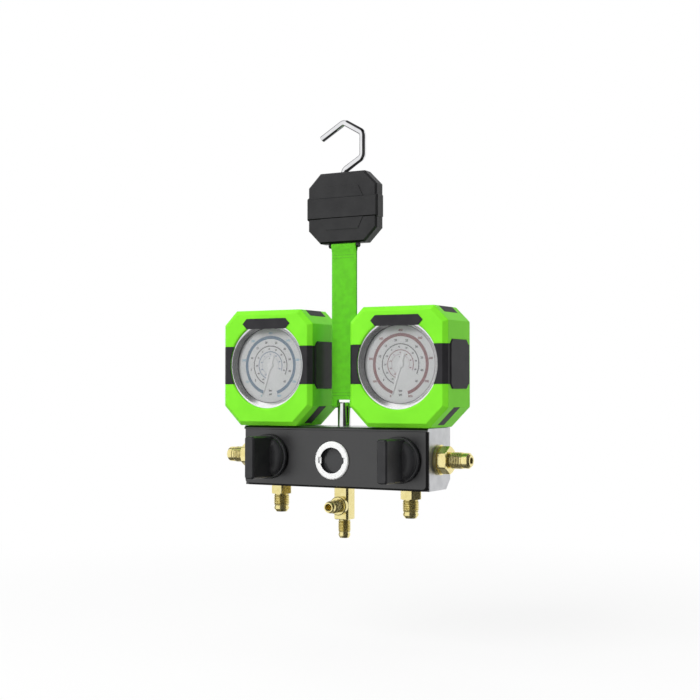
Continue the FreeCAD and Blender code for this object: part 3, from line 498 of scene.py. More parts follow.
POINTER = Finish("pointer_paint", (0.52, 0.525, 0.53), (0.48, 0.485, 0.49), (0.34, 0.45), patch=300.0)
THREAD = Finish("sewing_thread", (0.12, 0.46, 0.02), (0.08, 0.34, 0.015), (0.7, 0.85), patch=900.0, sheen=0.3)
MAGNET = Finish("ground_magnet", (0.42, 0.42, 0.43), (0.34, 0.34, 0.35), (0.30, 0.42), metal=0.9,
                patch=120.0, grain=2600.0, depth=0.00002, grain_way=Grain.ALONG_X)
WEBBING = WebbingFinish("woven_green_webbing", (0.16, 0.74, 0.018), (0.10, 0.50, 0.010))
LENS = GlassFinish("clear_lens", (0.96, 0.97, 0.97), 0.0, 0.08)
WINDOW = GlassFinish("dark_sight_glass", (0.045, 0.046, 0.048), 0.0, 1.0)

AnyFinish = Finish | WebbingFinish | GlassFinish


class Dresser:
    """Gives pieces their material, body and replaced nodes, and reports each one."""

    def __init__(self, frame: dict) -> None:
        """Keep the frame and an empty store of materials.
        """
        self.frame = frame
        self.store: dict[str, bpy.types.Material] = {}

    def material(self, finish: AnyFinish) -> bpy.types.Material:
        """Build a finish once and hand it out again.

        Args:
            finish: The finish.

        Returns:
            Its material.
        """
        if finish.name not in self.store:
            self.store[finish.name] = finish.build()
        return self.store[finish.name]

    def piece(self, piece: bpy.types.Object, finish: AnyFinish, body: str,
              slot: Slot, replaced: Iterable[str] = ()) -> bpy.types.Object:
        """Dress a new piece.

        Args:
            piece: The piece.
            finish: Its finish.
            body: The body that it rides on.
            slot: The record's slot; not used.
            replaced: CAD nodes that it stands for.

        Returns:
            The piece.
        """
        piece.data.materials.clear()
        piece.data.materials.append(self.material(finish))
        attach(piece, body)
        names = list(replaced)
        if names:
            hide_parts(*names)
        log.info("piece %s on %s in %s", piece.name, body, finish.name)
        return piece

    def node(self, name: str, finish: AnyFinish) -> None:
        """Give a CAD node its material.

        Args:
            name: The node.
            finish: Its finish.
        """
        mesh = self.frame["nodes"][name].data
        mesh.materials.clear()
        mesh.materials.append(self.material(finish))
        log.info("node %s in %s", name, finish.name)

    def rounded(self, node: str, edge: float, finish: Finish, body: str, slot: Slot,
                steps: int = 2) -> bpy.types.Object:
        """Stand a copy of a CAD node with softly rounded edges in its place.

        Args:
            node: The node.
            edge: Width of the rounding in metres.
            finish: Its finish.
            body: The body that it rides on.
            slot: The record's slot.
            steps: Segments of the rounding.

        Returns:
            The new piece.
        """
        mesh = self.frame["nodes"][node].data.copy()
        mesh.name = node + "_dressed"
        if "custom_normal" in mesh.attributes:
            mesh.attributes.remove(mesh.attributes["custom_normal"])
        draft = bmesh.new()
        draft.from_mesh(mesh)
        bmesh.ops.remove_doubles(draft, verts=draft.verts, dist=MERGE_DISTANCE)
        bmesh.ops.dissolve_degenerate(draft, dist=SLIVER_DISTANCE, edges=draft.edges)
        bmesh.ops.dissolve_limit(draft, angle_limit=math.radians(FLAT_ANGLE), verts=draft.verts,
                                 edges=draft.edges)
        for face in draft.faces:
            face.smooth = True
        draft.to_mesh(mesh)
        draft.free()
        piece = bpy.data.objects.new(node + "_dressed", mesh)
        bpy.context.scene.collection.objects.link(piece)
        rounding = piece.modifiers.new("rounding", "BEVEL")
        rounding.width = edge
        rounding.segments = steps
        rounding.limit_method = "ANGLE"
        rounding.angle_limit = math.radians(ROUND_ANGLE)
        rounding.use_clamp_overlap = False
        rounding.miter_outer = "MITER_ARC"
        even = piece.modifiers.new("even_normals", "WEIGHTED_NORMAL")
        even.weight = 100
        return self.piece(piece, finish, body, slot, [node])

    def paint(self, piece: bpy.types.Object, finish: Finish, way: Sequence[float], cosine: float) -> None:
        """Give the faces that look one way a finish of their own.

        Args:
            piece: The piece.
            finish: The finish.
            way: Unit direction that the faces look.
            cosine: Smallest cosine between a face's normal and that direction.
        """
        piece.data.materials.append(self.material(finish))
        normals = np.zeros(len(piece.data.polygons) * 3)
        piece.data.polygons.foreach_get("normal", normals)
        facing = normals.reshape(-1, 3) @ np.array(way)
        piece.data.polygons.foreach_set("material_index", (facing > cosine).astype(np.int32))


class MeshDraft:
    """Vertices, faces and UVs of one mesh while it is being put together."""

    def __init__(self) -> None:
        """Start empty."""
        self.points: list[Array] = []
        self.faces: list[list[int]] = []
        self.places: list[Array] = []
        self.count = 0

    def grid(self, grid: Array, wrap_rows: bool = False, wrap_columns: bool = False,
             places: Array | None = None) -> None:
        """Add a surface given as a grid of points.

        Args:
            grid: Points as rows by columns by 3.
            wrap_rows: Whether the last row joins the first.
            wrap_columns: Whether the last column joins the first.
            places: UV place of each point as rows by columns by 2.
        """
        rows, columns = grid.shape[:2]
        index = np.arange(rows * columns).reshape(rows, columns) + self.count
        if wrap_rows:
            index = np.vstack([index, index[:1]])
        if wrap_columns:
            index = np.hstack([index, index[:, :1]])
        quads = np.stack([index[:-1, :-1], index[:-1, 1:], index[1:, 1:], index[1:, :-1]], axis=-1)
        self.points.append(grid.reshape(-1, 3))
        self.places.append(np.zeros((rows * columns, 2)) if places is None else places.reshape(-1, 2))
        self.faces += quads.reshape(-1, 4).tolist()
        self.count += rows * columns

    def loops(self, points: Array, faces: Sequence[Sequence[int]]) -> None:
        """Add points with faces of any number of corners.

        Args:
            points: Points as count by 3.
            faces: Corner numbers of each face, counted from the first of these points.
        """
        self.faces += [[corner + self.count for corner in face] for face in faces]
        self.points.append(points)
        self.places.append(np.zeros((len(points), 2)))
        self.count += len(points)

    def build(self, name: str, crease: float = 35.0, turn: bool = True) -> bpy.types.Object:
        """Make the object.

        Args:
            name: The piece's name.
            crease: Angle in degrees above which an edge stays sharp.
            turn: Whether all faces are turned outwards.

        Returns:
            The object, linked to the scene.
        """
        points = np.vstack(self.points)
        places = np.vstack(self.places)
        mesh = bpy.data.meshes.new(name)
        mesh.from_pydata(points, [], self.faces)
        corners = np.zeros(len(mesh.loops), dtype=np.int32)
        mesh.loops.foreach_get("vertex_index", corners)
        layer = mesh.uv_layers.new(name="weave")
        layer.data.foreach_set("uv", places[corners].astype(np.float32).ravel())
        draft = bmesh.new()
        draft.from_mesh(mesh)
        bmesh.ops.remove_doubles(draft, verts=draft.verts, dist=WELD_DISTANCE)
        if turn:
            bmesh.ops.recalc_face_normals(draft, faces=draft.faces)
        for face in draft.faces:
            face.smooth = True
        draft.to_mesh(mesh)
        draft.free()
        mesh.set_sharp_from_angle(angle=math.radians(crease))
        piece = bpy.data.objects.new(name, mesh)
        bpy.context.scene.collection.objects.link(piece)
        return piece


# Shapes


def turned_grid(profile: Array, centre: Array, axis: Array, across: Array, sides: int) -> Array:
    """Turn a profile round an axis: each point is centre + axis * along + radius * direction(angle).

    Args:
        profile: Rows of (distance along the axis, radius).
        centre: Point on the axis where the distance is zero.
        axis: Unit direction of the axis.
        across: Unit direction at right angles to the axis where the angle is zero.
        sides: Points round the axis.

    Returns:
        Grid of points, profile rows by sides by 3.
    """
    angle = np.linspace(0.0, 2.0 * math.pi, sides, endpoint=False)
    up = np.cross(axis, across)
    ring = np.cos(angle)[:, None] * across + np.sin(angle)[:, None] * up
    return centre + profile[:, 0][:, None, None] * axis + profile[:, 1][:, None, None] * ring[None]


def swept_grid(path: Array, outline: Array, side: Array) -> Array:
    """Carry a flat outline along a path that lies in one plane.

    Args:
        path: Points of the path as rows by 3.
        outline: Rows of (offset along the side, offset along the path's own normal).
        side: Unit vector square to the path's plane.

    Returns:
        Grid of points, path rows by outline columns by 3.
    """
    heading = np.gradient(path, axis=0)
    heading /= np.linalg.norm(heading, axis=1)[:, None]
    normal = np.cross(heading, side)
    return (path[:, None, :] + outline[None, :, 0, None] * side
            + outline[None, :, 1, None] * normal[:, None, :])


def rounded_path(corners: Array, radius: float, step: float) -> Array:
    """Join points by straight runs and tangent arcs of one radius.

    Args:
        corners: Points as rows by 3.
        radius: Radius of every bend.
        step: Distance between points of the arcs.

    Returns:
        Points of the path as rows by 3.
    """
    points = [corners[0]]
    for before, corner, after in zip(corners[:-2], corners[1:-1], corners[2:]):
        inward = (before - corner) / np.linalg.norm(before - corner)
        outward = (after - corner) / np.linalg.norm(after - corner)
        half = math.acos(float(np.clip(inward @ outward, -1.0, 1.0))) / 2.0
        middle = inward + outward
        middle /= np.linalg.norm(middle)
        centre = corner + middle * radius / math.sin(half)
        first = corner + inward * radius / math.tan(half) - centre
        last = corner + outward * radius / math.tan(half) - centre
        sweep = math.pi - 2.0 * half
        share = np.linspace(0.0, 1.0, max(4, int(radius * sweep / step)))[:, None]
        arc = (np.sin((1.0 - share) * sweep) * first + np.sin(share * sweep) * last) / math.sin(sweep)
        points += list(centre + arc)
    points.append(corners[-1])
    return np.array(points)


def boxes(draft: MeshDraft, centres: Array, along: Array, across: Array, out: Array,
          sizes: Sequence[float]) -> None:
    """Add many small blocks at once.

    Args:
        draft: Where they go.
        centres: Middle of each block as count by 3.
        along: Unit direction of each block's length as count by 3.
        across: Unit direction of each block's width as count by 3.
        out: Unit direction of the thickness.
        sizes: Length, width and thickness.
    """
    signs = np.array([(a, b, c) for a in (-0.5, 0.5) for b in (-0.5, 0.5) for c in (-0.5, 0.5)])
    corners = (centres[:, None, :] + signs[None, :, 0, None] * sizes[0] * along[:, None, :]
               + signs[None, :, 1, None] * sizes[1] * across[:, None, :]
               + signs[None, :, 2, None] * sizes[2] * out[None, None, :])
    sides = np.array([(0, 1, 3, 2), (4, 6, 7, 5), (0, 4, 5, 1), (2, 3, 7, 6), (0, 2, 6, 4), (1, 5, 7, 3)])
    faces = (np.arange(len(centres))[:, None, None] * 8 + sides[None]).reshape(-1, 4)
    draft.loops(corners.reshape(-1, 3), faces.tolist())


def unit(x: float, y: float, z: float) -> Array:
    """Direction as an array."""
    return np.array((x, y, z), dtype=float)


def middle_of(node: str) -> Array:
    """Middle of a CAD node's box."""
    low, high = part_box(node)
    return (np.array(low) + np.array(high)) / 2.0


# Sub-assemblies


@dataclass
class FlarePort:
    """Brass port: collar or hexagon, screw thread, groove and flare nose, as one turned surface.

    Pairs of distances run along the axis. The root depths say how far inside the crests the middle of a face
    lies that gets painted shade as the root of the thread.
    """

    node: str
    axis: Array
    flats: float
    hexagon: tuple[float, float]
    thread: tuple[float, float]
    thread_radius: float
    nose_radius: float
    collar: tuple[float, float] = (0.0, 0.0)
    pitch: float = 1.5 * MM
    straight: float = 0.35
    bore: float = 2.5 * MM
    mouth: float = 0.6 * MM
    depth: float = 0.72 * MM
    sides: int = 144
    turn_rows: float = 10.0
    nose_rows: int = 10
    edge: float = 0.25 * MM
    hair: float = 0.02 * MM
    collar_radius: float = 12.2 * MM
    collar_edge: float = 0.5 * MM
    cone_slope: float = 1.9
    crest: float = 1.25
    neck_inset: float = 0.9 * MM
    nose_inset: float = 0.4 * MM
    relief: float = 1.3 * MM
    groove_lip: float = 0.05 * MM
    groove_width: float = 0.3 * MM
    root_depths: tuple[float, float] = (0.42 * MM, 0.85 * MM)

    @property
    def groove(self) -> float:
        """Distance of the groove between the thread's run-out and the nose."""
        return self.thread[1] + self.relief

    def _stations(self, start: float, end: float) -> Array:
        """Distances at which the surface has a ring of points.

        Args:
            start: Distance of the port's shoulder.
            end: Distance of its nose.

        Returns:
            Rising distances along the axis.
        """
        along = [start + self.hair]
        for low, high in (self.collar, self.hexagon):
            if high > low:
                along += [low, low + self.edge, low + 2.0 * self.edge]
                along += [high - 2.0 * self.edge, high - self.edge, high, high + self.hair]
        first, last = self.thread
        rows = int((last - first) / self.pitch * self.turn_rows)
        along += list(np.linspace(first - self.groove_width, last + self.groove_width, rows))
        along += [self.groove, self.groove + self.groove_lip, self.groove + self.groove_width]
        along += list(np.linspace(self.groove + 2.0 * self.groove_width, end, self.nose_rows))
        return np.array(sorted(set(np.round(along, 9))))

    def _threaded(self, d: Array, a: Array) -> Array:
        """Radius of neck and thread: a helix, as a triangle wave of distance / pitch - angle / turn.

        Args:
            d: Distance of each point.
            a: Angle of each point.

        Returns:
            Radius of each point.
        """
        first, last = self.thread
        neck = self.thread_radius - self.neck_inset
        wave = (d / self.pitch - a / (2.0 * math.pi)) % 1.0
        ridge = 1.0 - np.abs(2.0 * wave - 1.0)
        taper = np.clip(np.minimum(d - first, last - d) / self.pitch, 0.0, 1.0)
        threaded = self.thread_radius - self.depth * (1.0 - np.clip(ridge * self.crest, 0.0, 1.0) * taper)
        inside = (d >= first - self.hair / 2.0) & (d <= last + self.hair / 2.0)
        return np.where(inside, np.maximum(threaded, neck), neck)

    def _nose(self, d: Array, end: float) -> Array:
        """Radius of the nose: straight for a share of its length, then a cone down to its tip.

        Args:
            d: Distance of each point.
            end: Distance of the tip.

        Returns:
            Radius of each point.
        """
        start = self.groove + self.groove_width
        straight = start + (end - start) * self.straight
        slope = np.clip((d - straight) / (end - straight), 0.0, 1.0)
        return (self.thread_radius - self.nose_inset) * (1.0 - slope) + self.nose_radius * slope

    def _hexagonal(self, d: Array, a: Array) -> Array:
        """Radius of the hexagon: flats / 2 / cos(angle to the nearest flat's middle).

        A corner is at angle zero, and a cone at each end turns the corners off.

        Args:
            d: Distance of each point.
            a: Angle of each point.

        Returns:
            Radius of each point.
        """
        flat = self.flats / 2.0 / np.cos(a % (math.pi / 3.0) - math.pi / 6.0)
        rise = np.minimum(d - self.hexagon[0], self.hexagon[1] - d)
        cone = self.flats / 2.0 + self.edge + np.clip(rise, 0.0, 1.0) * self.cone_slope
        return np.minimum(flat, cone)

    def radii(self, start: float, end: float) -> tuple[Array, Array]:
        """Radius of the port over distance and angle.

        Args:
            start: Distance of the port's shoulder.
            end: Distance of its nose.

        Returns:
            Distances along the axis, and radii as distances by angles.
        """
        distance = self._stations(start, end)
        angle = np.linspace(0.0, 2.0 * math.pi, self.sides, endpoint=False)
        d, a = np.meshgrid(distance, angle, indexing="ij")
        radius = np.where(d > self.groove + self.hair, self._nose(d, end), self._threaded(d, a))
        on_hexagon = (d >= self.hexagon[0]) & (d <= self.hexagon[1])
        radius = np.where(on_hexagon, self._hexagonal(d, a), radius)
        low, high = self.collar
        if high > low:
            rise = np.clip(np.minimum(d - low, high - d), 0.0, self.collar_edge)
            radius = np.where((d >= low) & (d <= high), self.collar_radius + rise, radius)
        return distance, radius

    def surface(self, base: Array, helper: Array, start: float, length: float, floor: float,
                flush: bool = False) -> Array:
        """Rings of points over the outside, the nose and back down the bore.

        Args:
            base: Point on the axis where the distance is zero.
            helper: Unit direction at right angles to the axis where the angle is zero.
            start: Distance of the first ring.
            length: Distance of the nose.
            floor: Distance of the bore's inner end.
            flush: Whether one more ring lies in the plane of the base.

        Returns:
            Grid of points, rings by sides by 3.
        """
        distance, radius = self.radii(start, length)
        angle = np.linspace(0.0, 2.0 * math.pi, self.sides, endpoint=False)
        up = np.cross(self.axis, helper)
        ring = np.cos(angle)[:, None] * helper + np.sin(angle)[:, None] * up
        skin = base + distance[:, None, None] * self.axis + radius[:, :, None] * ring[None]
        if flush:
            skin = np.concatenate([base + radius[:1, :, None] * ring[None], skin])
        inner = np.array([(length, self.bore + self.mouth), (length - self.mouth, self.bore),
                          (floor, self.bore)])
        return np.concatenate([skin, turned_grid(inner, base, self.axis, helper, self.sides)])

    def shade_roots(self, dress: Dresser, piece: bpy.types.Object, base: Array) -> None:
        """Paint shade into the roots of the thread: faces between its ends whose middle lies inside its
        crests.

        Args:
            dress: The dresser.
            piece: The piece with the thread.
            base: Point on the thread's axis where the distance is zero.
        """
        polygons = piece.data.polygons
        if len(piece.data.materials) < 2:
            piece.data.materials.append(dress.material(BRASS_ROOT_SHADE))
        middle, index = np.zeros(len(polygons) * 3), np.zeros(len(polygons), dtype=np.int32)
        polygons.foreach_get("center", middle)
        polygons.foreach_get("material_index", index)
        offset = middle.reshape(-1, 3) - base
        along = offset @ self.axis
        out = np.linalg.norm(offset - along[:, None] * self.axis, axis=1)
        shallow, deep = self.root_depths
        index[(along > self.thread[0]) & (along < self.thread[1])
              & (out > self.thread_radius - deep) & (out < self.thread_radius - shallow)] = 1
        polygons.foreach_set("material_index", index)
        piece.data.update()

    def build(self, dress: Dresser, shoulder: Array, length: float) -> None:
        """Make the port.

        Args:
            dress: The dresser.
            shoulder: Place of the shoulder on the axis.
            length: Distance from the shoulder to the nose.
        """
        helper = unit(0, 0, 1) if abs(self.axis[2]) < 0.5 else unit(1, 0, 0)
        draft = MeshDraft()
        draft.grid(self.surface(shoulder, helper, 0.0, length, 0.0, flush=True), wrap_rows=True,
                   wrap_columns=True)
        piece = dress.piece(draft.build(self.node + "_dressed", crease=28.0), BRASS, "manifold",
                            Slot.BRASS, [self.node])
        self.shade_roots(dress, piece, shoulder)


@dataclass
class ManifoldBody:
    """Block, front plate, sight window, post and ports."""

    dress: Dresser
    block_edge: float = 0.35 * MM
    plate_edge: float = 0.3 * MM
    ring_edge: float = 0.3 * MM
    shaded_lip_way: tuple[float, float, float] = (0.0, -0.924, 0.383)
    side_flats: float = 21.0 * MM
    hose_flats: float = 17.0 * MM
    flare_radius: float = 7.0 * MM
    nose_radius: float = 4.8 * MM
    window_radius: float = 10.9 * MM
    window_room: float = 0.05 * MM

    def build(self) -> None:
        """Dress the fixed pieces and build the ports."""
        block = self.dress.rounded("manifold_block", self.block_edge, BLOCK, "manifold", Slot.BLOCK)
        # The block's faces that look forward and a little up, its front and its top front edge, take the
        # plate's black: painted shade along the front of the block, under the overhanging boots.
        self.dress.paint(block, PLATE, self.shaded_lip_way, FACING)
        self.dress.rounded("front_plate", self.plate_edge, PLATE, "manifold", Slot.PLATE)
        self._sight_ring()
        self.dress.node("sight_glass", WINDOW)
        self.dress.node("sight_seal", SEAL)
        self.dress.node("hanger_post", CHROME)
        self.dress.node("post_pin", STEEL)
        for side, sign in SIDES.items():
            self._side_port(side, sign)
            self._hose_port(side)

    def _sight_ring(self) -> None:
        """Dress the sight ring, with black paint on the wall of its window."""
        ring = self.dress.rounded("sight_ring", self.ring_edge, SIGHT_RING, "manifold", Slot.RING, steps=3)
        ring.data.materials.append(self.dress.material(INK_BLACK))
        middle = middle_of("sight_ring")
        spots = np.array([tuple(polygon.center) for polygon in ring.data.polygons]) - middle
        facing = np.array([abs(polygon.normal[1]) for polygon in ring.data.polygons])
        wall = (np.hypot(spots[:, 0], spots[:, 2]) < self.window_radius + self.window_room) & (facing < 0.5)
        ring.data.polygons.foreach_set("material_index", wall.astype(np.int32))

    def _side_port(self, side: str, sign: float) -> None:
        """Build the port at one end of the block.

        Args:
            side: Name of the side.
            sign: -1 on the left and 1 on the right.
        """
        node = side + "_side_port"
        low, high = (np.array(corner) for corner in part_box(node))
        block_low, block_high = (np.array(corner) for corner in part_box("manifold_block"))
        middle = (low + high) / 2.0
        shoulder = np.array((block_high[0] if sign > 0 else block_low[0], middle[1], middle[2]))
        length = (high[0] - shoulder[0]) if sign > 0 else (shoulder[0] - low[0])
        port = FlarePort(node, unit(sign, 0, 0), flats=self.side_flats, hexagon=(3.0 * MM, 11.0 * MM),
                         thread=(12.0 * MM, 22.6 * MM), thread_radius=self.flare_radius,
                         nose_radius=self.nose_radius, collar=(0.0, 3.0 * MM), straight=0.66,
                         depth=0.3 * MM)
        port.build(self.dress, shoulder, float(length))

    def _hose_port(self, side: str) -> None:
        """Build the port under one valve.

        Args:
            side: Name of the side.
        """
        node = side + "_hose_port"
        low, high = (np.array(corner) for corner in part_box(node))
        middle = (low + high) / 2.0
        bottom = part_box("manifold_block")[0][2]
        port = FlarePort(node, unit(0, 0, -1), flats=self.hose_flats, hexagon=(0.0, 8.3 * MM),
                         thread=(9.3 * MM, 18.7 * MM), thread_radius=self.flare_radius,
                         nose_radius=self.nose_radius)
        port.build(self.dress, np.array((middle[0], middle[1], bottom)), float(bottom - low[2]))


@dataclass
class ServiceTee:
    """Brass tee: eight-sided body with a flare port down and one to the front.

    The boss is rows of distance from the middle and radius, for the round foot of the front port.
    """

    dress: Dresser
    thread_radius: float = 5.55 * MM
    thread_reach: tuple[float, float] = (1.0 * MM, 11.0 * MM)
    nose_radius: float = 4.1 * MM
    bore: float = 2.7 * MM
    mouth: float = 0.5 * MM
    sunk: float = 1.5 * MM
    pitch: float = 1.27 * MM
    sides: int = 96
    half_width: float = 7.0 * MM
    height: float = 28.0 * MM
    branch_drop: float = 16.0 * MM
    branch_length: float = 12.0 * MM
    corner: float = 1.6 * MM
    edge: float = 0.5 * MM
    boss: tuple[tuple[float, float], ...] = (
        (6.5 * MM, 0.0), (6.5 * MM, 6.9 * MM), (7.3 * MM, 7.8 * MM), (8.0 * MM, 8.0 * MM),
        (11.4 * MM, 8.0 * MM), (12.0 * MM, 7.4 * MM), (12.0 * MM, 0.0))

    def outline(self, inset: float) -> Array:
        """Eight-sided outline as (x, y) points.

        Args:
            inset: Distance by which it is drawn in.

        Returns:
            Rows of x and y.
        """
        half = self.half_width - inset
        cut = self.corner - inset * (2.0 - math.sqrt(2.0))
        quarter = np.array(((half, -half + cut), (half, half - cut)))
        turns = [np.array(((math.cos(a), -math.sin(a)), (math.sin(a), math.cos(a))))
                 for a in np.arange(4) * math.pi / 2.0]
        return np.vstack([quarter @ turn.T for turn in turns])

    def nozzle(self, draft: MeshDraft, base: Array, axis: Array, start: float, length: float) -> FlarePort:
        """Add a threaded nozzle: radius over distance, with a helical thread, a groove and a nose.

        Args:
            draft: Where it goes.
            base: Point on the axis where the distance is zero.
            axis: Unit direction outwards.
            start: Distance of the shoulder.
            length: Distance of the nose.

        Returns:
            The port whose thread it has.
        """
        port = FlarePort("nozzle", axis, flats=0.0, hexagon=(0.0, 0.0),
                         thread=(start + self.thread_reach[0], start + self.thread_reach[1]),
                         thread_radius=self.thread_radius, nose_radius=self.nose_radius,
                         bore=self.bore, mouth=self.mouth, pitch=self.pitch, sides=self.sides)
        draft.grid(port.surface(base, unit(1, 0, 0), start - self.sunk, length, start), wrap_rows=True,
                   wrap_columns=True)
        return port

    def build(self) -> None:
        """Make the tee."""
        low, high = (np.array(corner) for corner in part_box("service_tee"))
        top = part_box("manifold_block")[0][2]
        x = (low[0] + high[0]) / 2.0
        rows = [(0.0, self.edge), (0.0, 0.0), (self.height - self.edge, 0.0), (self.height, self.edge)]
        rings = [np.column_stack([self.outline(inset) + (x, 0.0), np.full(8, top - drop)])
                 for drop, inset in rows]
        draft = MeshDraft()
        draft.grid(np.array(rings), wrap_columns=True)
        draft.loops(np.vstack([rings[0], rings[-1]]), [list(range(8)), list(range(8, 16))])
        stem = np.array((x, 0.0, top))
        down = self.nozzle(draft, stem, unit(0, 0, -1), self.height, float(top - low[2]))
        branch = np.array((x, 0.0, top - self.branch_drop))
        front = self.nozzle(draft, branch, unit(0, -1, 0), self.branch_length, float(-low[1]))
        foot = turned_grid(np.array(self.boss), branch, unit(0, -1, 0), unit(1, 0, 0), self.sides)
        draft.grid(foot, wrap_columns=True)
        piece = self.dress.piece(draft.build("service_tee_dressed", crease=28.0), BRASS, "manifold",
                                 Slot.BRASS, ["service_tee"])
        down.shade_roots(self.dress, piece, stem)
        front.shade_roots(self.dress, piece, branch)


@dataclass
class Valve:
    """Knob with its stem, bonnet and piston."""

    dress: Dresser
    side: str
    edge: float = 0.45 * MM

    def build(self) -> None:
        """Dress the valve."""
        self.dress.rounded(self.side + "_knob", self.edge, KNOB, self.side + "_knob", Slot.PLASTIC, steps=3)
        self.dress.node(self.side + "_valve_stem", STEEL)
        self.dress.node(self.side + "_valve_bonnet", BRASS)
        self.dress.node(self.side + "_valve_piston", BRASS)
        self.dress.node(self.side + "_piston_ring", SEAL)


@dataclass(frozen=True)
class Scale:
    """One ring of a dial: an arc with ticks and numbers. Angles run clockwise from the top in degrees."""

    radius: float
    width: float
    start: float
    end: float
    ink: Finish
    ticks: int = 0
    tick: float = 0.0
    labels: tuple[str, ...] = ()
    label_start: float = 0.0
    label_end: float = 0.0
    label_radius: float = 0.0
    label_height: float = 0.0
    label_ink: Finish = INK_BLACK


# Black line round the edge of a dial, painted shade of the gap under the bezel, and each unit's text with its
# radius and angle on it.
RIM_SHADE = Scale(33.9 * MM, 1.4 * MM, 0.0, 360.0, INK_BLACK)
UNITS = (("bar", 22.0 * MM, 180.0), ("psi", 25.2 * MM, 180.0), ("\u00b0C", 5.4 * MM, 0.0))
UNIT_HEIGHT = 1.9 * MM

# Pointer in mm: distance from its axis and half width of each station, its half section across, and
# the hub's height and radius.
BLADE_STATIONS = (-9.0, -8.6, -3.0, 0.0, 6.0, 24.0, 25.6, 26.0)
BLADE_HALVES = (0.9, 1.6, 1.5, 1.4, 1.1, 0.35, 0.25, 0.02)
BLADE_SECTION = ((-1.0, 0.0), (-1.0, 0.22), (0.0, 0.4), (1.0, 0.22), (1.0, 0.0))
HUB_PROFILE = ((0.0, 0.0), (0.0, 3.0), (0.3, 3.0), (0.42, 2.6), (0.45, 0.0))


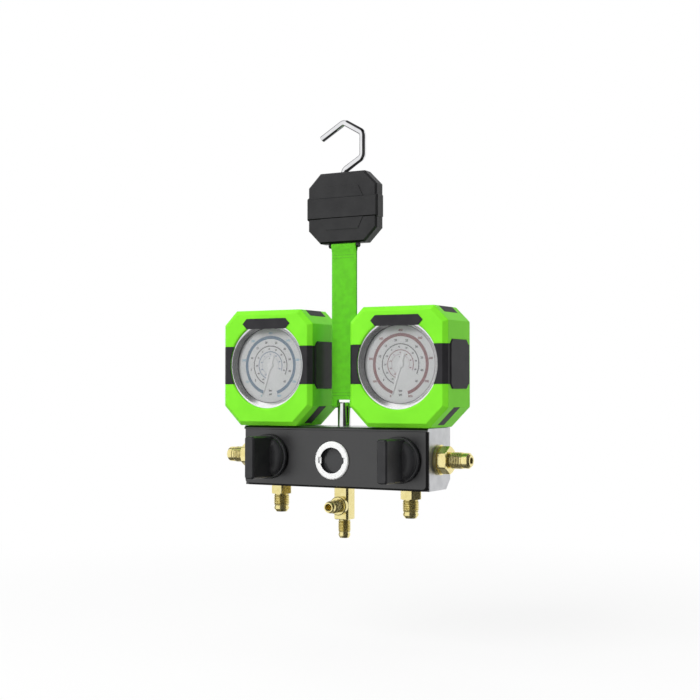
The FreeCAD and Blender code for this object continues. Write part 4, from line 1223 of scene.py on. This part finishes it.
@dataclass
class Gauge:
    """Case, bezel, lens, printed dial, pointer and movement."""

    dress: Dresser
    side: str
    scales: Sequence[Scale] = field(default_factory=list)
    film: float = 0.05 * MM
    tick_width: float = 0.26 * MM
    mouth_radius: float = 32.6 * MM
    slope_radius: float = 37.2 * MM
    roll_radius: float = 0.7 * MM
    wall: float = 0.9 * MM
    slope_drop: float = 0.08
    slope_power: float = 1.35
    pointer_angle: float = 196.0
    arc_points: int = 181
    roll_points: int = 7
    slope_points: int = 14
    bezel_sides: int = 160
    hub_sides: int = 40

    def __post_init__(self) -> None:
        """Find the middle of the dial and its front face."""
        low, high = (np.array(corner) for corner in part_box(self.side + "_gauge_dial"))
        self.centre = (low + high) / 2.0
        self.face = float(low[1])

    def polar(self, radius: Array | float, degrees: Array | float, lift: float = 0.0) -> Array:
        """Points on the dial: x = radius sin(angle), z = radius cos(angle).

        Args:
            radius: Distance from the middle.
            degrees: Angle clockwise from the top.
            lift: Height above the dial's face.

        Returns:
            Points as rows by 3.
        """
        angle = np.radians(np.atleast_1d(degrees).astype(float))
        distance = np.broadcast_to(np.atleast_1d(radius).astype(float), angle.shape)
        return np.column_stack([self.centre[0] + distance * np.sin(angle),
                                np.full(angle.shape, self.face - lift),
                                self.centre[2] + distance * np.cos(angle)])

    def arc(self, draft: MeshDraft, scale: Scale) -> None:
        """Add the arc: a flat band between two radii, closed all round.

        Args:
            draft: Where it goes.
            scale: The scale.
        """
        angle = np.linspace(scale.start, scale.end, self.arc_points)
        inner, outer = scale.radius - scale.width / 2.0, scale.radius + scale.width / 2.0
        rims = [self.polar(inner, angle, 0.0), self.polar(inner, angle, self.film),
                self.polar(outer, angle, self.film), self.polar(outer, angle, 0.0)]
        band = np.stack(rims, axis=1)
        draft.grid(band, wrap_columns=True)
        draft.loops(np.vstack([band[0], band[-1]]), [[0, 1, 2, 3], [7, 6, 5, 4]])

    def ticks(self, draft: MeshDraft, scale: Scale) -> None:
        """Add the ticks, every fifth one longer.

        Args:
            draft: Where they go.
            scale: The scale.
        """
        angle = np.linspace(scale.start, scale.end, scale.ticks + 1)
        edge = scale.radius + scale.width / 2.0
        fifth = np.arange(len(angle)) % 5 == 0
        for chosen, length in ((fifth, scale.tick), (~fifth, scale.tick * SHORT_TICK)):
            spots = angle[chosen]
            centres = self.polar(edge + length / 2.0, spots, self.film / 2.0)
            along = self.polar(1.0, spots) - self.polar(0.0, spots)
            across = self.polar(1.0, spots + 90.0) - self.polar(0.0, spots)
            boxes(draft, centres, along, across, unit(0, -1, 0), (length, self.tick_width, self.film))

    def labels(self, scale: Scale) -> bpy.types.Object | None:
        """Set the numbers of a scale upright round the dial.

        Args:
            scale: The scale.

        Returns:
            One object with all its numbers, or None for a scale that has none.
        """
        if not scale.labels:
            return None
        draft = MeshDraft()
        angles = np.linspace(scale.label_start, scale.label_end, len(scale.labels))
        for text, angle in zip(scale.labels, angles):
            spot = self.polar(scale.label_radius, angle)[0]
            self.letters(draft, text, spot, scale.label_height)
        name = f"{self.side}_numbers_{round(scale.label_radius / MM * 10)}"
        return draft.build(name, crease=20.0, turn=False)

    def letters(self, draft: MeshDraft, text: str, spot: Array, height: float) -> None:
        """Add one short text, centred on a spot of the dial.

        Args:
            draft: Where it goes.
            text: The text.
            spot: Its middle.
            height: Height of a figure.
        """
        curve = bpy.data.curves.new("figure", "FONT")
        curve.body = text
        curve.size = height * FIGURE_SIZE
        curve.extrude = self.film / 2.0
        curve.offset = height * FIGURE_WEIGHT
        curve.resolution_u = 2
        curve.align_x = "CENTER"
        curve.align_y = "CENTER"
        carrier = bpy.data.objects.new("figure", curve)
        bpy.context.scene.collection.objects.link(carrier)
        bpy.context.view_layer.update()
        mesh = carrier.to_mesh()
        flat = np.zeros(len(mesh.vertices) * 3)
        mesh.vertices.foreach_get("co", flat)
        flat = flat.reshape(-1, 3)
        placed = np.column_stack([spot[0] + flat[:, 0], self.face - self.film / 2.0 - flat[:, 2],
                                  spot[2] + flat[:, 1]])
        draft.loops(placed, [list(polygon.vertices) for polygon in mesh.polygons])
        carrier.to_mesh_clear()
        bpy.data.objects.remove(carrier)
        bpy.data.curves.remove(curve)

    def bezel(self) -> None:
        """Make the spun bezel: skirt, rolled front edge and the wide slope down to the lens."""
        node = self.side + "_gauge_bezel"
        low, high = (np.array(corner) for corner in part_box(node))
        outer = (high[0] - low[0]) / 2.0
        lens = float(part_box(self.side + "_gauge_lens")[0][1])
        front, back = float(low[1]), float(high[1])
        roll, radius = np.radians(np.linspace(90.0, 180.0, self.roll_points)), self.roll_radius
        profile = [(back, outer - self.wall), (back, outer)]
        profile += [(front + radius + radius * math.cos(a), outer - radius + radius * math.sin(a))
                    for a in roll]
        for share in np.linspace(0.0, 1.0, self.slope_points):
            sunk = self.slope_drop + (1.0 - self.slope_drop) * share ** self.slope_power
            profile.append((front + (lens - front) * sunk,
                            self.slope_radius + (self.mouth_radius - self.slope_radius) * share))
        profile.append((lens, outer - self.wall))
        middle = np.array((self.centre[0], 0.0, self.centre[2]))
        draft = MeshDraft()
        draft.grid(turned_grid(np.array(profile), middle, unit(0, 1, 0), unit(1, 0, 0), self.bezel_sides),
                   wrap_rows=True, wrap_columns=True)
        piece = self.dress.piece(draft.build(node + "_dressed", crease=40.0), BEZEL, "manifold",
                                 Slot.BRIGHT, [node])
        self._lens_shade_edge(piece, len(profile))

    def _lens_shade_edge(self, piece: bpy.types.Object, rows: int) -> None:
        """Blacken the last step of the slope: painted shade of the gap between the bezel and the lens.

        Args:
            piece: The bezel.
            rows: Points of its profile; its faces run round the bezel row by row.
        """
        piece.data.materials.append(self.dress.material(INK_BLACK))
        count = len(piece.data.polygons) // rows
        row = np.arange(len(piece.data.polygons)) // count
        piece.data.polygons.foreach_set("material_index", (row == rows - 3).astype(np.int32))
        piece.data.update()

    def pointer(self) -> None:
        """Make the pointer: a thin tapered blade with a raised rib, a tail and a domed hub."""
        node = self.side + "_pointer"
        low, high = (np.array(corner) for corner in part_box(node))
        back = float(high[1])
        heading = math.radians(self.pointer_angle)
        along = unit(math.sin(heading), 0.0, math.cos(heading))
        across = unit(math.cos(heading), 0.0, -math.sin(heading))
        share, half = np.array(BLADE_STATIONS) * MM, np.array(BLADE_HALVES) * MM
        section = np.array(BLADE_SECTION)
        middle = np.array((self.centre[0], back, self.centre[2]))
        grid = (middle + share[:, None, None] * along
                + (half[:, None] * section[None, :, 0])[:, :, None] * across
                + (section[None, :, 1] * MM)[:, :, None] * unit(0, -1, 0) * np.ones((len(share), 1, 1)))
        draft = MeshDraft()
        draft.grid(grid, wrap_columns=True)
        draft.loops(np.vstack([grid[0], grid[-1]]), [[0, 1, 2, 3, 4], [9, 8, 7, 6, 5]])
        hub = turned_grid(np.array(HUB_PROFILE) * MM, middle, unit(0, -1, 0), unit(1, 0, 0),
                          self.hub_sides)
        draft.grid(hub, wrap_columns=True)
        piece = draft.build(node + "_dressed", crease=30.0)
        self.dress.piece(piece, POINTER, self.side + "_pointer", Slot.POINTER, [node])

    def build(self) -> None:
        """Dress the gauge."""
        side = self.side
        for scale in self.scales:
            draft = MeshDraft()
            self.arc(draft, scale)
            self.ticks(draft, scale)
            ring = draft.build(f"{side}_scale_{round(scale.radius / MM * 10)}")
            self.dress.piece(ring, scale.ink, "manifold", Slot.DIAL)
            numbers = self.labels(scale)
            if numbers is not None:
                self.dress.piece(numbers, scale.label_ink, "manifold", Slot.DIAL)
        units = MeshDraft()
        for text, radius, degrees in UNITS:
            self.letters(units, text, self.polar(radius, degrees)[0], UNIT_HEIGHT)
        self.dress.piece(units.build(side + "_units", turn=False), INK_BLACK, "manifold", Slot.DIAL)
        # The black ring on the dial's edge is painted shade of the gap under the bezel.
        rim = MeshDraft()
        self.arc(rim, RIM_SHADE)
        self.dress.piece(rim.build(side + "_dial_rim_shade"), INK_BLACK, "manifold", Slot.DIAL)
        self.bezel()
        self.pointer()
        self.dress.node(side + "_gauge_dial", DIAL)
        self.dress.node(side + "_gauge_lens", LENS)
        self.dress.node(side + "_lens_gasket", SEAL)
        self.dress.node(side + "_gauge_case", STEEL)
        for name in ("gauge_socket", "bourdon_tube", "movement_frame", "pinion", "sector_gear"):
            self.dress.node(f"{side}_{name}", BRASS)


def dial_scales(ink: Finish, outer: Finish) -> list[Scale]:
    """Four rings of a dial. Their numbers are spread evenly for looks and are no true scale.

    Args:
        ink: Ink of the thick ring and of the two inner rings.
        outer: Ink of the outer numbers.

    Returns:
        The scales.
    """
    return [
        Scale(24.6 * MM, 2.7 * MM, 196.0, 524.0, ink, 80, 0.7 * MM,
              labels=("0", "100", "200", "300", "400", "500", "600", "700", "800"),
              label_start=199.0, label_end=521.0, label_radius=28.2 * MM, label_height=1.9 * MM,
              label_ink=outer),
        Scale(16.9 * MM, 0.65 * MM, 202.0, 478.0, INK_BLACK, 90, 1.0 * MM,
              labels=("0", "5", "10", "15", "20", "25", "30", "35", "40", "45"),
              label_start=230.0, label_end=494.0, label_radius=20.5 * MM, label_height=1.9 * MM),
        Scale(11.9 * MM, 0.5 * MM, 203.0, 474.0, ink, 60, 0.8 * MM,
              labels=("-40", "-30", "-20", "-10", "0", "10", "20", "30", "40", "50"),
              label_start=212.0, label_end=468.0, label_radius=14.5 * MM, label_height=1.4 * MM),
        Scale(8.2 * MM, 0.12 * MM, 205.0, 474.0, ink, 40, 0.4 * MM,
              labels=("-30", "-20", "-10", "0", "10", "20", "30", "40"),
              label_start=212.0, label_end=468.0, label_radius=9.8 * MM, label_height=1.2 * MM,
              label_ink=ink),
    ]


@dataclass
class Boot:
    """Green rubber boot with its black trim and bare badge."""

    dress: Dresser
    side: str
    edge: float = 0.5 * MM
    trim_edge: float = 0.2 * MM
    badge_edge: float = 0.15 * MM

    def build(self) -> None:
        """Dress the boot."""
        self.dress.rounded(self.side + "_gauge_boot", self.edge, BOOT, "manifold", Slot.BOOT, steps=3)
        self.dress.rounded(self.side + "_boot_trim", self.trim_edge, TRIM, "manifold", Slot.TRIM)
        self.dress.rounded(self.side + "_badge", self.badge_edge, TRIM, "manifold", Slot.TRIM)


def eased(start: Sequence[float], end: Sequence[float], share: Array) -> Array:
    """Run from one point to another, with the first value cosine-eased and the second one even.

    Args:
        start: First (y, z).
        end: Last (y, z).
        share: Shares of the way.

    Returns:
        Rows of y and z.
    """
    ease = (1.0 - np.cos(share * math.pi)) / 2.0
    return np.column_stack([start[0] + (end[0] - start[0]) * ease, start[1] + (end[1] - start[1]) * share])


@dataclass
class Strap:
    """Doubled webbing: one endless ribbon round both pins, with a window for the post."""

    dress: Dresser
    ply: float = 1.15 * MM
    lower_pin: float = 1.3 * MM
    upper_pin: float = 1.55 * MM
    taper: float = 7.0 * MM
    window_half: float = 6.2 * MM
    window_rise: float = 4.6 * MM
    selvedge_start: float = 0.93
    selvedge_least: float = 0.03
    wrap: float = 0.35
    parting: float = 0.03 * MM
    cutter_below: float = 8.0 * MM
    cutter_depth: float = 12.0 * MM
    stitch: tuple[float, float, float] = (1.7 * MM, 0.5 * MM, 0.32 * MM)
    stitch_gap: float = 0.7 * MM
    stitch_lift: float = 0.05 * MM
    stitch_edge: float = 0.12 * MM
    stitch_margins: tuple[float, float] = (2.0 * MM, 1.9 * MM)
    rows_down: tuple[float, ...] = (8.5 * MM, 11.0 * MM)
    rows_up: tuple[float, ...] = (8.2 * MM, 10.7 * MM)

    def centreline(self, low_z: float, high_z: float) -> Array:
        """Middle line of the ribbon as a loop of (y, z): arcs round the pins and cosine-eased tapers.

        Args:
            low_z: Height of the lower pin.
            high_z: Height of the upper pin.

        Returns:
            Closed loop of points as rows of y and z.
        """
        half = self.ply / 2.0
        low = self.lower_pin + half
        high = self.upper_pin + half
        share = np.linspace(0.0, 1.0, 12)
        low_arc = np.linspace(self.wrap, -math.pi - self.wrap, 26)
        high_arc = np.linspace(math.pi + self.wrap, -self.wrap, 26)
        bottom = np.column_stack([low * np.cos(low_arc), low_z + low * np.sin(low_arc)])
        top = np.column_stack([high * np.cos(high_arc), high_z + high * np.sin(high_arc)])
        thin = half + self.parting
        foot, head = low_z + self.taper, high_z - self.taper
        run = np.linspace(foot, head, 60)[1:]
        front_low = eased(bottom[-1], (-thin, foot), share)[1:]
        front = np.column_stack([np.full(len(run), -thin), run])
        front_high = eased(top[0], (-thin, head), share)[::-1][1:-1]
        back_high = eased(top[-1], (thin, head), share)[1:]
        back = np.column_stack([np.full(len(run), thin), run[::-1]])
        back_low = eased(bottom[0], (thin, foot), share)[::-1][1:-1]
        return np.vstack([bottom, front_low, front, front_high, top, back_high, back, back_low])

    def build(self) -> None:
        """Make the ribbon, cut its window and add the stitching."""
        low, high = (np.array(corner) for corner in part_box("strap"))
        half = (high[0] - low[0]) / 2.0
        low_z = float(middle_of("post_pin")[2])
        high_z = float(middle_of("strap_pin")[2])
        loop = self.centreline(low_z, high_z)
        ahead = np.roll(loop, -1, axis=0) - np.roll(loop, 1, axis=0)
        ahead /= np.linalg.norm(ahead, axis=1)[:, None]
        outwards = np.column_stack([ahead[:, 1], -ahead[:, 0]])
        steps = np.linspace(-1.0, 1.0, 23)
        side = np.clip((np.abs(steps) - self.selvedge_start) / (1.0 - self.selvedge_start), 0.0, 1.0)
        swell = self.ply / 2.0 * np.sqrt(np.clip(1.0 - side ** 2, self.selvedge_least, 1.0))
        outline = np.vstack([np.column_stack([steps * half, swell]),
                             np.column_stack([steps[::-1] * half, -swell])])
        x = np.broadcast_to(outline[None, :, 0], (len(loop), len(outline)))
        y = loop[:, None, 0] + outwards[:, None, 0] * outline[None, :, 1]
        z = loop[:, None, 1] + outwards[:, None, 1] * outline[None, :, 1]
        grid = np.stack([x, y, z], axis=-1)
        run = np.concatenate([[0.0], np.cumsum(np.linalg.norm(np.diff(loop, axis=0), axis=1))])
        places = np.stack([x, np.broadcast_to(run[:, None], x.shape)], axis=-1)
        draft = MeshDraft()
        draft.grid(grid, wrap_rows=True, wrap_columns=True, places=places)
        ribbon = draft.build("strap_webbing", crease=50.0)
        self._cut_window(ribbon, low_z)
        self.dress.piece(ribbon, WEBBING, "strap", Slot.STRAP, ["strap"])
        self._stitches(low_z, high_z, half)

    def _cut_window(self, ribbon: bpy.types.Object, low_z: float) -> None:
        """Cut the opening for the post with a block that is thrown away afterwards.

        Args:
            ribbon: The webbing.
            low_z: Height of the lower pin.
        """
        draft = MeshDraft()
        height = self.window_rise + self.cutter_below
        centre = np.array([[0.0, 0.0, low_z + self.window_rise - height / 2.0]])
        boxes(draft, centre, np.array([unit(0, 0, 1)]), np.array([unit(1, 0, 0)]), unit(0, 1, 0),
              (height, 2.0 * self.window_half, self.cutter_depth))
        cutter = draft.build("window_cutter")
        cut = ribbon.modifiers.new("window", "BOOLEAN")
        cut.operation = "DIFFERENCE"
        cut.object = cutter
        cut.solver = "EXACT"
        bpy.context.view_layer.update()
        settled = bpy.data.meshes.new_from_object(ribbon.evaluated_get(bpy.context.evaluated_depsgraph_get()))
        ribbon.modifiers.clear()
        ribbon.data = settled
        bpy.data.objects.remove(cutter)

    def _stitches(self, low_z: float, high_z: float, half: float) -> None:
        """Sew two rows of short stitches below the upper loop and above the lower one.

        Args:
            low_z: Height of the lower pin.
            high_z: Height of the upper pin.
            half: Half of the webbing's width.
        """
        first, last = self.stitch_margins
        spots = np.arange(-half + first, half - last, self.stitch[0] + self.stitch_gap)
        heights = [high_z - drop for drop in self.rows_down] + [low_z + rise for rise in self.rows_up]
        draft = MeshDraft()
        for height in heights:
            for face in (-1.0, 1.0):
                depth = np.full(len(spots), face * (self.ply + self.stitch_lift))
                centres = np.column_stack([spots, depth, np.full(len(spots), height)])
                along = np.tile(unit(1, 0, 0), (len(spots), 1))
                across = np.tile(unit(0, 0, 1), (len(spots), 1))
                boxes(draft, centres, along, across, unit(0, 1, 0), self.stitch)
        stitches = draft.build("strap_stitches")
        rounding = stitches.modifiers.new("rounding", "BEVEL")
        rounding.width = self.stitch_edge
        rounding.segments = 2
        self.dress.piece(stitches, THREAD, "strap", Slot.STRAP)


@dataclass
class HookBox:
    """Two-shell box with its screws, magnet and the strap's upper pin."""

    dress: Dresser
    edge: float = 0.14 * MM
    magnet_edge: float = 0.25 * MM
    painted_shade_way: tuple[float, float, float] = (0.0, -0.707, -0.707)

    def build(self) -> None:
        """Dress the box."""
        front = self.dress.rounded("hook_box_front", self.edge, PLASTIC, "hook_box", Slot.PLASTIC, steps=3)
        # The faces that look forward and down, the lower slopes of the band and panels, get painted shade.
        self.dress.paint(front, PAINTED_BAND_SHADE, self.painted_shade_way, FACING)
        self.dress.rounded("hook_box_rear", self.edge, PLASTIC, "hook_box", Slot.PLASTIC, steps=3)
        self.dress.rounded("magnet", self.magnet_edge, MAGNET, "hook_box", Slot.MAGNET)
        self.dress.node("strap_pin", PLASTIC)
        self.dress.node("box_screws", STEEL)


@dataclass
class Hook:
    """Rod bent to an open hexagon, with a rounded tip."""

    dress: Dresser
    side: float = 21.0 * MM
    tip_length: float = 26.0 * MM
    bend: float = 5.0 * MM
    rod: float = 3.0 * MM
    neck: float = 2.0 * MM
    head: float = 4.0 * MM
    head_height: float = 3.0 * MM
    head_edge: float = 0.2 * MM
    start: float = 2.0 * MM
    tip_round: float = 0.8 * MM
    lean: float = 30.0
    step: float = 0.35 * MM
    sides: int = 40
    head_sides: int = 48
    cap_rings: int = 8

    def build(self) -> None:
        """Make the rod and its head."""
        top = float(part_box("hook_box_rear")[1][2])
        low = float(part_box("hook")[0][2])
        foot = top + self.neck
        peak = foot + 2.0 * self.side
        lean = math.cos(math.radians(self.lean))
        wide = self.side * lean
        tip = unit(-lean, 0.0, -0.5) * self.tip_length
        corners = np.array([(0.0, 0.0, low + self.start), (0.0, 0.0, foot),
                            (wide, 0.0, foot + self.side / 2.0), (wide, 0.0, foot + self.side * 1.5),
                            (0.0, 0.0, peak), (tip[0], 0.0, peak + tip[2])])
        path = rounded_path(corners, self.bend, self.step)
        angle = np.linspace(0.0, 2.0 * math.pi, self.sides, endpoint=False)
        tube = swept_grid(path, np.column_stack([np.cos(angle), np.sin(angle)]) * self.rod, unit(0, 1, 0))
        start = np.repeat(path[0][None, None, :], self.sides, axis=1)
        draft = MeshDraft()
        draft.grid(np.concatenate([start, tube[:-1], self._cap(path, tube)]), wrap_columns=True)
        edge = self.head - self.head_edge
        head = np.array([(0.0, 0.0), (0.0, edge), (self.head_edge, self.head),
                         (self.head_height - self.head_edge, self.head), (self.head_height, edge),
                         (self.head_height, 0.0)])
        draft.grid(turned_grid(head, np.array((0.0, 0.0, low)), unit(0, 0, 1), unit(1, 0, 0),
                               self.head_sides), wrap_columns=True)
        self.dress.piece(draft.build("hook_dressed", crease=40.0), CHROME, "hook", Slot.BRIGHT, ["hook"])

    def _cap(self, path: Array, tube: Array) -> Array:
        """Round the end of the rod off.

        Args:
            path: Points of the rod's middle line.
            tube: Rings of points round it.

        Returns:
            Rings of points that close the rod at its tip.
        """
        heading = (path[-1] - path[-2]) / np.linalg.norm(path[-1] - path[-2])
        fall = np.radians(np.linspace(0.0, 90.0, self.cap_rings))[:, None, None]
        end = path[-1] - heading * self.tip_round
        shrink = (self.rod - self.tip_round * (1.0 - np.cos(fall))) / self.rod
        cap = end + heading * self.tip_round * np.sin(fall) + (tube[-1] - path[-1])[None] * shrink
        closing = np.repeat((end + heading * self.tip_round)[None, None, :], self.sides, axis=1)
        return np.concatenate([cap, closing])


@dataclass(frozen=True)
class Lamp:
    """Soft lamp, with its width and height in metres and its power in watts."""

    name: str
    place: tuple[float, float, float]
    size: tuple[float, float]
    power: float


@dataclass(frozen=True)
class Card:
    """Upright dark card: level direction of its middle, cosines of its soft edge, and brightness."""

    way: tuple[float, float, float]
    edge: tuple[float, float]
    level: float


LAMPS = (Lamp("key", (-0.35, -1.3, 0.75), (1.0, 0.8), 18.0),
         Lamp("top", (0.0, -0.1, 1.2), (1.2, 1.2), 5.0),
         Lamp("side", (1.3, -0.1, 0.2), (0.8, 0.8), 3.0))
CARDS = (Card((0.820, -0.572, 0.0), (0.55, 0.70), 0.04), Card((-0.995, 0.105, 0.0), (0.93, 0.985), 0.10))


@dataclass
class Studio:
    """White studio: floor, soft lamps and the camera at the photograph's place.

    The camera's place and target are in mm from the underside of the block. Edges are pairs of
    values between which the room's brightness changes.
    """

    camera_place: tuple[float, float, float] = (553.2, -982.7, 85.9)
    camera_target: tuple[float, float, float] = (17.21, -21.0, 117.37)
    focal_pixels: float = 1299.9
    sensor: float = 36.0
    lamp_target: tuple[float, float, float] = (0.0, 0.0, -0.18)
    floor_gap: float = 0.10
    floor_half: float = 6.0
    floor_pale: tuple[float, float] = (0.32, 0.60)
    floor_near: float = 0.75
    floor_fade: tuple[float, float] = (0.35, 1.0)
    room_level: float = 1.0
    pit_level: float = 0.12
    pit_edge: tuple[float, float] = (-0.75, -0.60)
    hood_level: float = 0.05
    hood_rise: tuple[float, float] = (0.62, 0.76)
    hood_reach: tuple[float, float] = (-0.28, -0.10)

    def camera(self, block_bottom: float) -> None:
        """Set the camera: its place was fitted to the photograph from the underside of the block.

        Args:
            block_bottom: Height of the underside of the block in the frame.
        """
        data = bpy.data.cameras.new("photo_camera")
        data.sensor_width = self.sensor
        data.lens = self.focal_pixels * self.sensor / PHOTO_PIXELS
        data.clip_end = 50.0
        camera = bpy.data.objects.new("photo_camera", data)
        place = Vector(self.camera_place) * MM
        target = Vector(self.camera_target) * MM
        place.z += block_bottom
        target.z += block_bottom
        camera.location = place
        camera.rotation_euler = (target - place).to_track_quat("-Z", "Y").to_euler()
        bpy.context.scene.collection.objects.link(camera)
        bpy.context.scene.camera = camera

    def lamp(self, lamp: Lamp) -> None:
        """Hang a lamp that points at the object.

        Args:
            lamp: The lamp.
        """
        data = bpy.data.lights.new(lamp.name, "AREA")
        data.shape = "RECTANGLE"
        data.size, data.size_y = lamp.size
        data.energy = lamp.power
        light = bpy.data.objects.new(lamp.name, data)
        light.visible_glossy = False
        light.location = lamp.place
        aim = Vector(self.lamp_target) - Vector(lamp.place)
        light.rotation_euler = aim.to_track_quat("-Z", "Y").to_euler()
        bpy.context.scene.collection.objects.link(light)

    def floor(self, height: float) -> None:
        """Lay a pale floor below the object that looks white to the camera and keeps a soft shadow.

        Args:
            height: Height of the floor.
        """
        draft = MeshDraft()
        span = np.linspace(-self.floor_half, self.floor_half, 5)
        x, y = np.meshgrid(span, span, indexing="ij")
        draft.grid(np.stack([x, y, np.full(x.shape, height)], axis=-1))
        floor = draft.build("floor", turn=False)
        nodes = Nodes("white_floor")
        diffuse = nodes.add("ShaderNodeBsdfDiffuse")
        glow = nodes.add("ShaderNodeEmission")
        rays = nodes.add("ShaderNodeLightPath")
        seen = rays.outputs["Is Camera Ray"]
        nodes.link(nodes.combine("MULTIPLY_ADD", seen, *self.floor_pale), diffuse.inputs["Color"])
        far = nodes.add("ShaderNodeVectorMath", operation="LENGTH")
        nodes.link(nodes.coordinates, far.inputs[0])
        share = nodes.step(far.outputs["Value"], *self.floor_fade, self.floor_near, 1.0)
        mix = nodes.add("ShaderNodeMixShader")
        nodes.link(nodes.combine("MULTIPLY", seen, share), mix.inputs["Fac"])
        nodes.link(diffuse.outputs["BSDF"], mix.inputs[1])
        nodes.link(glow.outputs["Emission"], mix.inputs[2])
        clear = nodes.add("ShaderNodeMixShader")
        nodes.link(rays.outputs["Is Glossy Ray"], clear.inputs["Fac"])
        nodes.link(mix.outputs["Shader"], clear.inputs[1])
        nodes.link(nodes.add("ShaderNodeBsdfTransparent").outputs["BSDF"], clear.inputs[2])
        nodes.link(clear.outputs["Shader"], nodes.output.inputs["Surface"])
        floor.data.materials.append(nodes.material)
        floor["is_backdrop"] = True

    def world(self) -> None:
        """Room of a product studio: soft white all round, but for some dark places.

        They are a card at the front right, a narrow one at the left, a hood overhead that stops short
        of the left side, and a pit below.
        """
        world = bpy.data.worlds.new("studio")
        bpy.context.scene.world = world
        world.use_nodes = True
        tree = Tree(world.node_tree)
        output = tree.add("ShaderNodeOutputWorld")
        place = tree.add("ShaderNodeSeparateXYZ")
        tree.link(tree.add("ShaderNodeTexCoord").outputs["Generated"], place.inputs["Vector"])
        level_way = tree.add("ShaderNodeCombineXYZ")
        tree.link(place.outputs["X"], level_way.inputs["X"])
        tree.link(place.outputs["Y"], level_way.inputs["Y"])
        flat = tree.add("ShaderNodeVectorMath", operation="NORMALIZE")
        tree.link(level_way.outputs["Vector"], flat.inputs[0])
        level = tree.step(place.outputs["Z"], *self.pit_edge, self.pit_level, self.room_level)
        for card in CARDS:
            near = tree.add("ShaderNodeVectorMath", operation="DOT_PRODUCT")
            near.inputs[1].default_value = card.way
            tree.link(flat.outputs["Vector"], near.inputs[0])
            shade = tree.step(near.outputs["Value"], *card.edge, self.room_level, card.level)
            level = tree.combine("MULTIPLY", level, shade)
        overhead = tree.step(place.outputs["Z"], *self.hood_rise, self.room_level, self.hood_level)
        beside = tree.step(place.outputs["X"], *self.hood_reach, self.room_level, self.hood_level)
        level = tree.combine("MULTIPLY", level, tree.combine("MAXIMUM", overhead, beside))
        soft = tree.add("ShaderNodeBackground")
        tree.link(level, soft.inputs["Strength"])
        white = tree.add("ShaderNodeBackground")
        for shade in (soft, white):
            shade.inputs["Color"].default_value = (1.0, 1.0, 1.0, 1.0)
        rays = tree.add("ShaderNodeLightPath")
        mix = tree.add("ShaderNodeMixShader")
        tree.link(rays.outputs["Is Camera Ray"], mix.inputs["Fac"])
        tree.link(soft.outputs["Background"], mix.inputs[1])
        tree.link(white.outputs["Background"], mix.inputs[2])
        tree.link(mix.outputs["Shader"], output.inputs["Surface"])

    def build(self) -> None:
        """Set up the whole studio."""
        block_bottom = float(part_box("manifold_block")[0][2])
        lowest = float(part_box("service_tee")[0][2])
        self.camera(block_bottom)
        self.world()
        self.floor(lowest - self.floor_gap)
        for lamp in LAMPS:
            self.lamp(lamp)
        bpy.context.scene.view_settings.view_transform = "Standard"


def corners_of(bounds: tuple) -> list[list[float]]:
    """Turn bounds into plain lists of numbers."""
    return [[float(value) for value in corner] for corner in bounds]


def main() -> dict[str, list[list[float]]]:
    """Build the dressed object and its studio.
    """
    logging.basicConfig(level=logging.INFO, format="%(name)s: %(message)s")
    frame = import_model()
    cad_box = corners_of(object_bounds())
    dress = Dresser(frame)
    Studio().build()
    ManifoldBody(dress).build()
    ServiceTee(dress).build()
    for side, ink, outer in (("left", INK_BLUE, INK_SKY), ("right", INK_RED, INK_RED)):
        Valve(dress, side).build()
        Gauge(dress, side, dial_scales(ink, outer)).build()
        Boot(dress, side).build()
    Strap(dress).build()
    HookBox(dress).build()
    Hook(dress).build()
    return {"cad_box": cad_box, "visual_box": corners_of(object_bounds())}


if __name__ == "__main__":
    main()
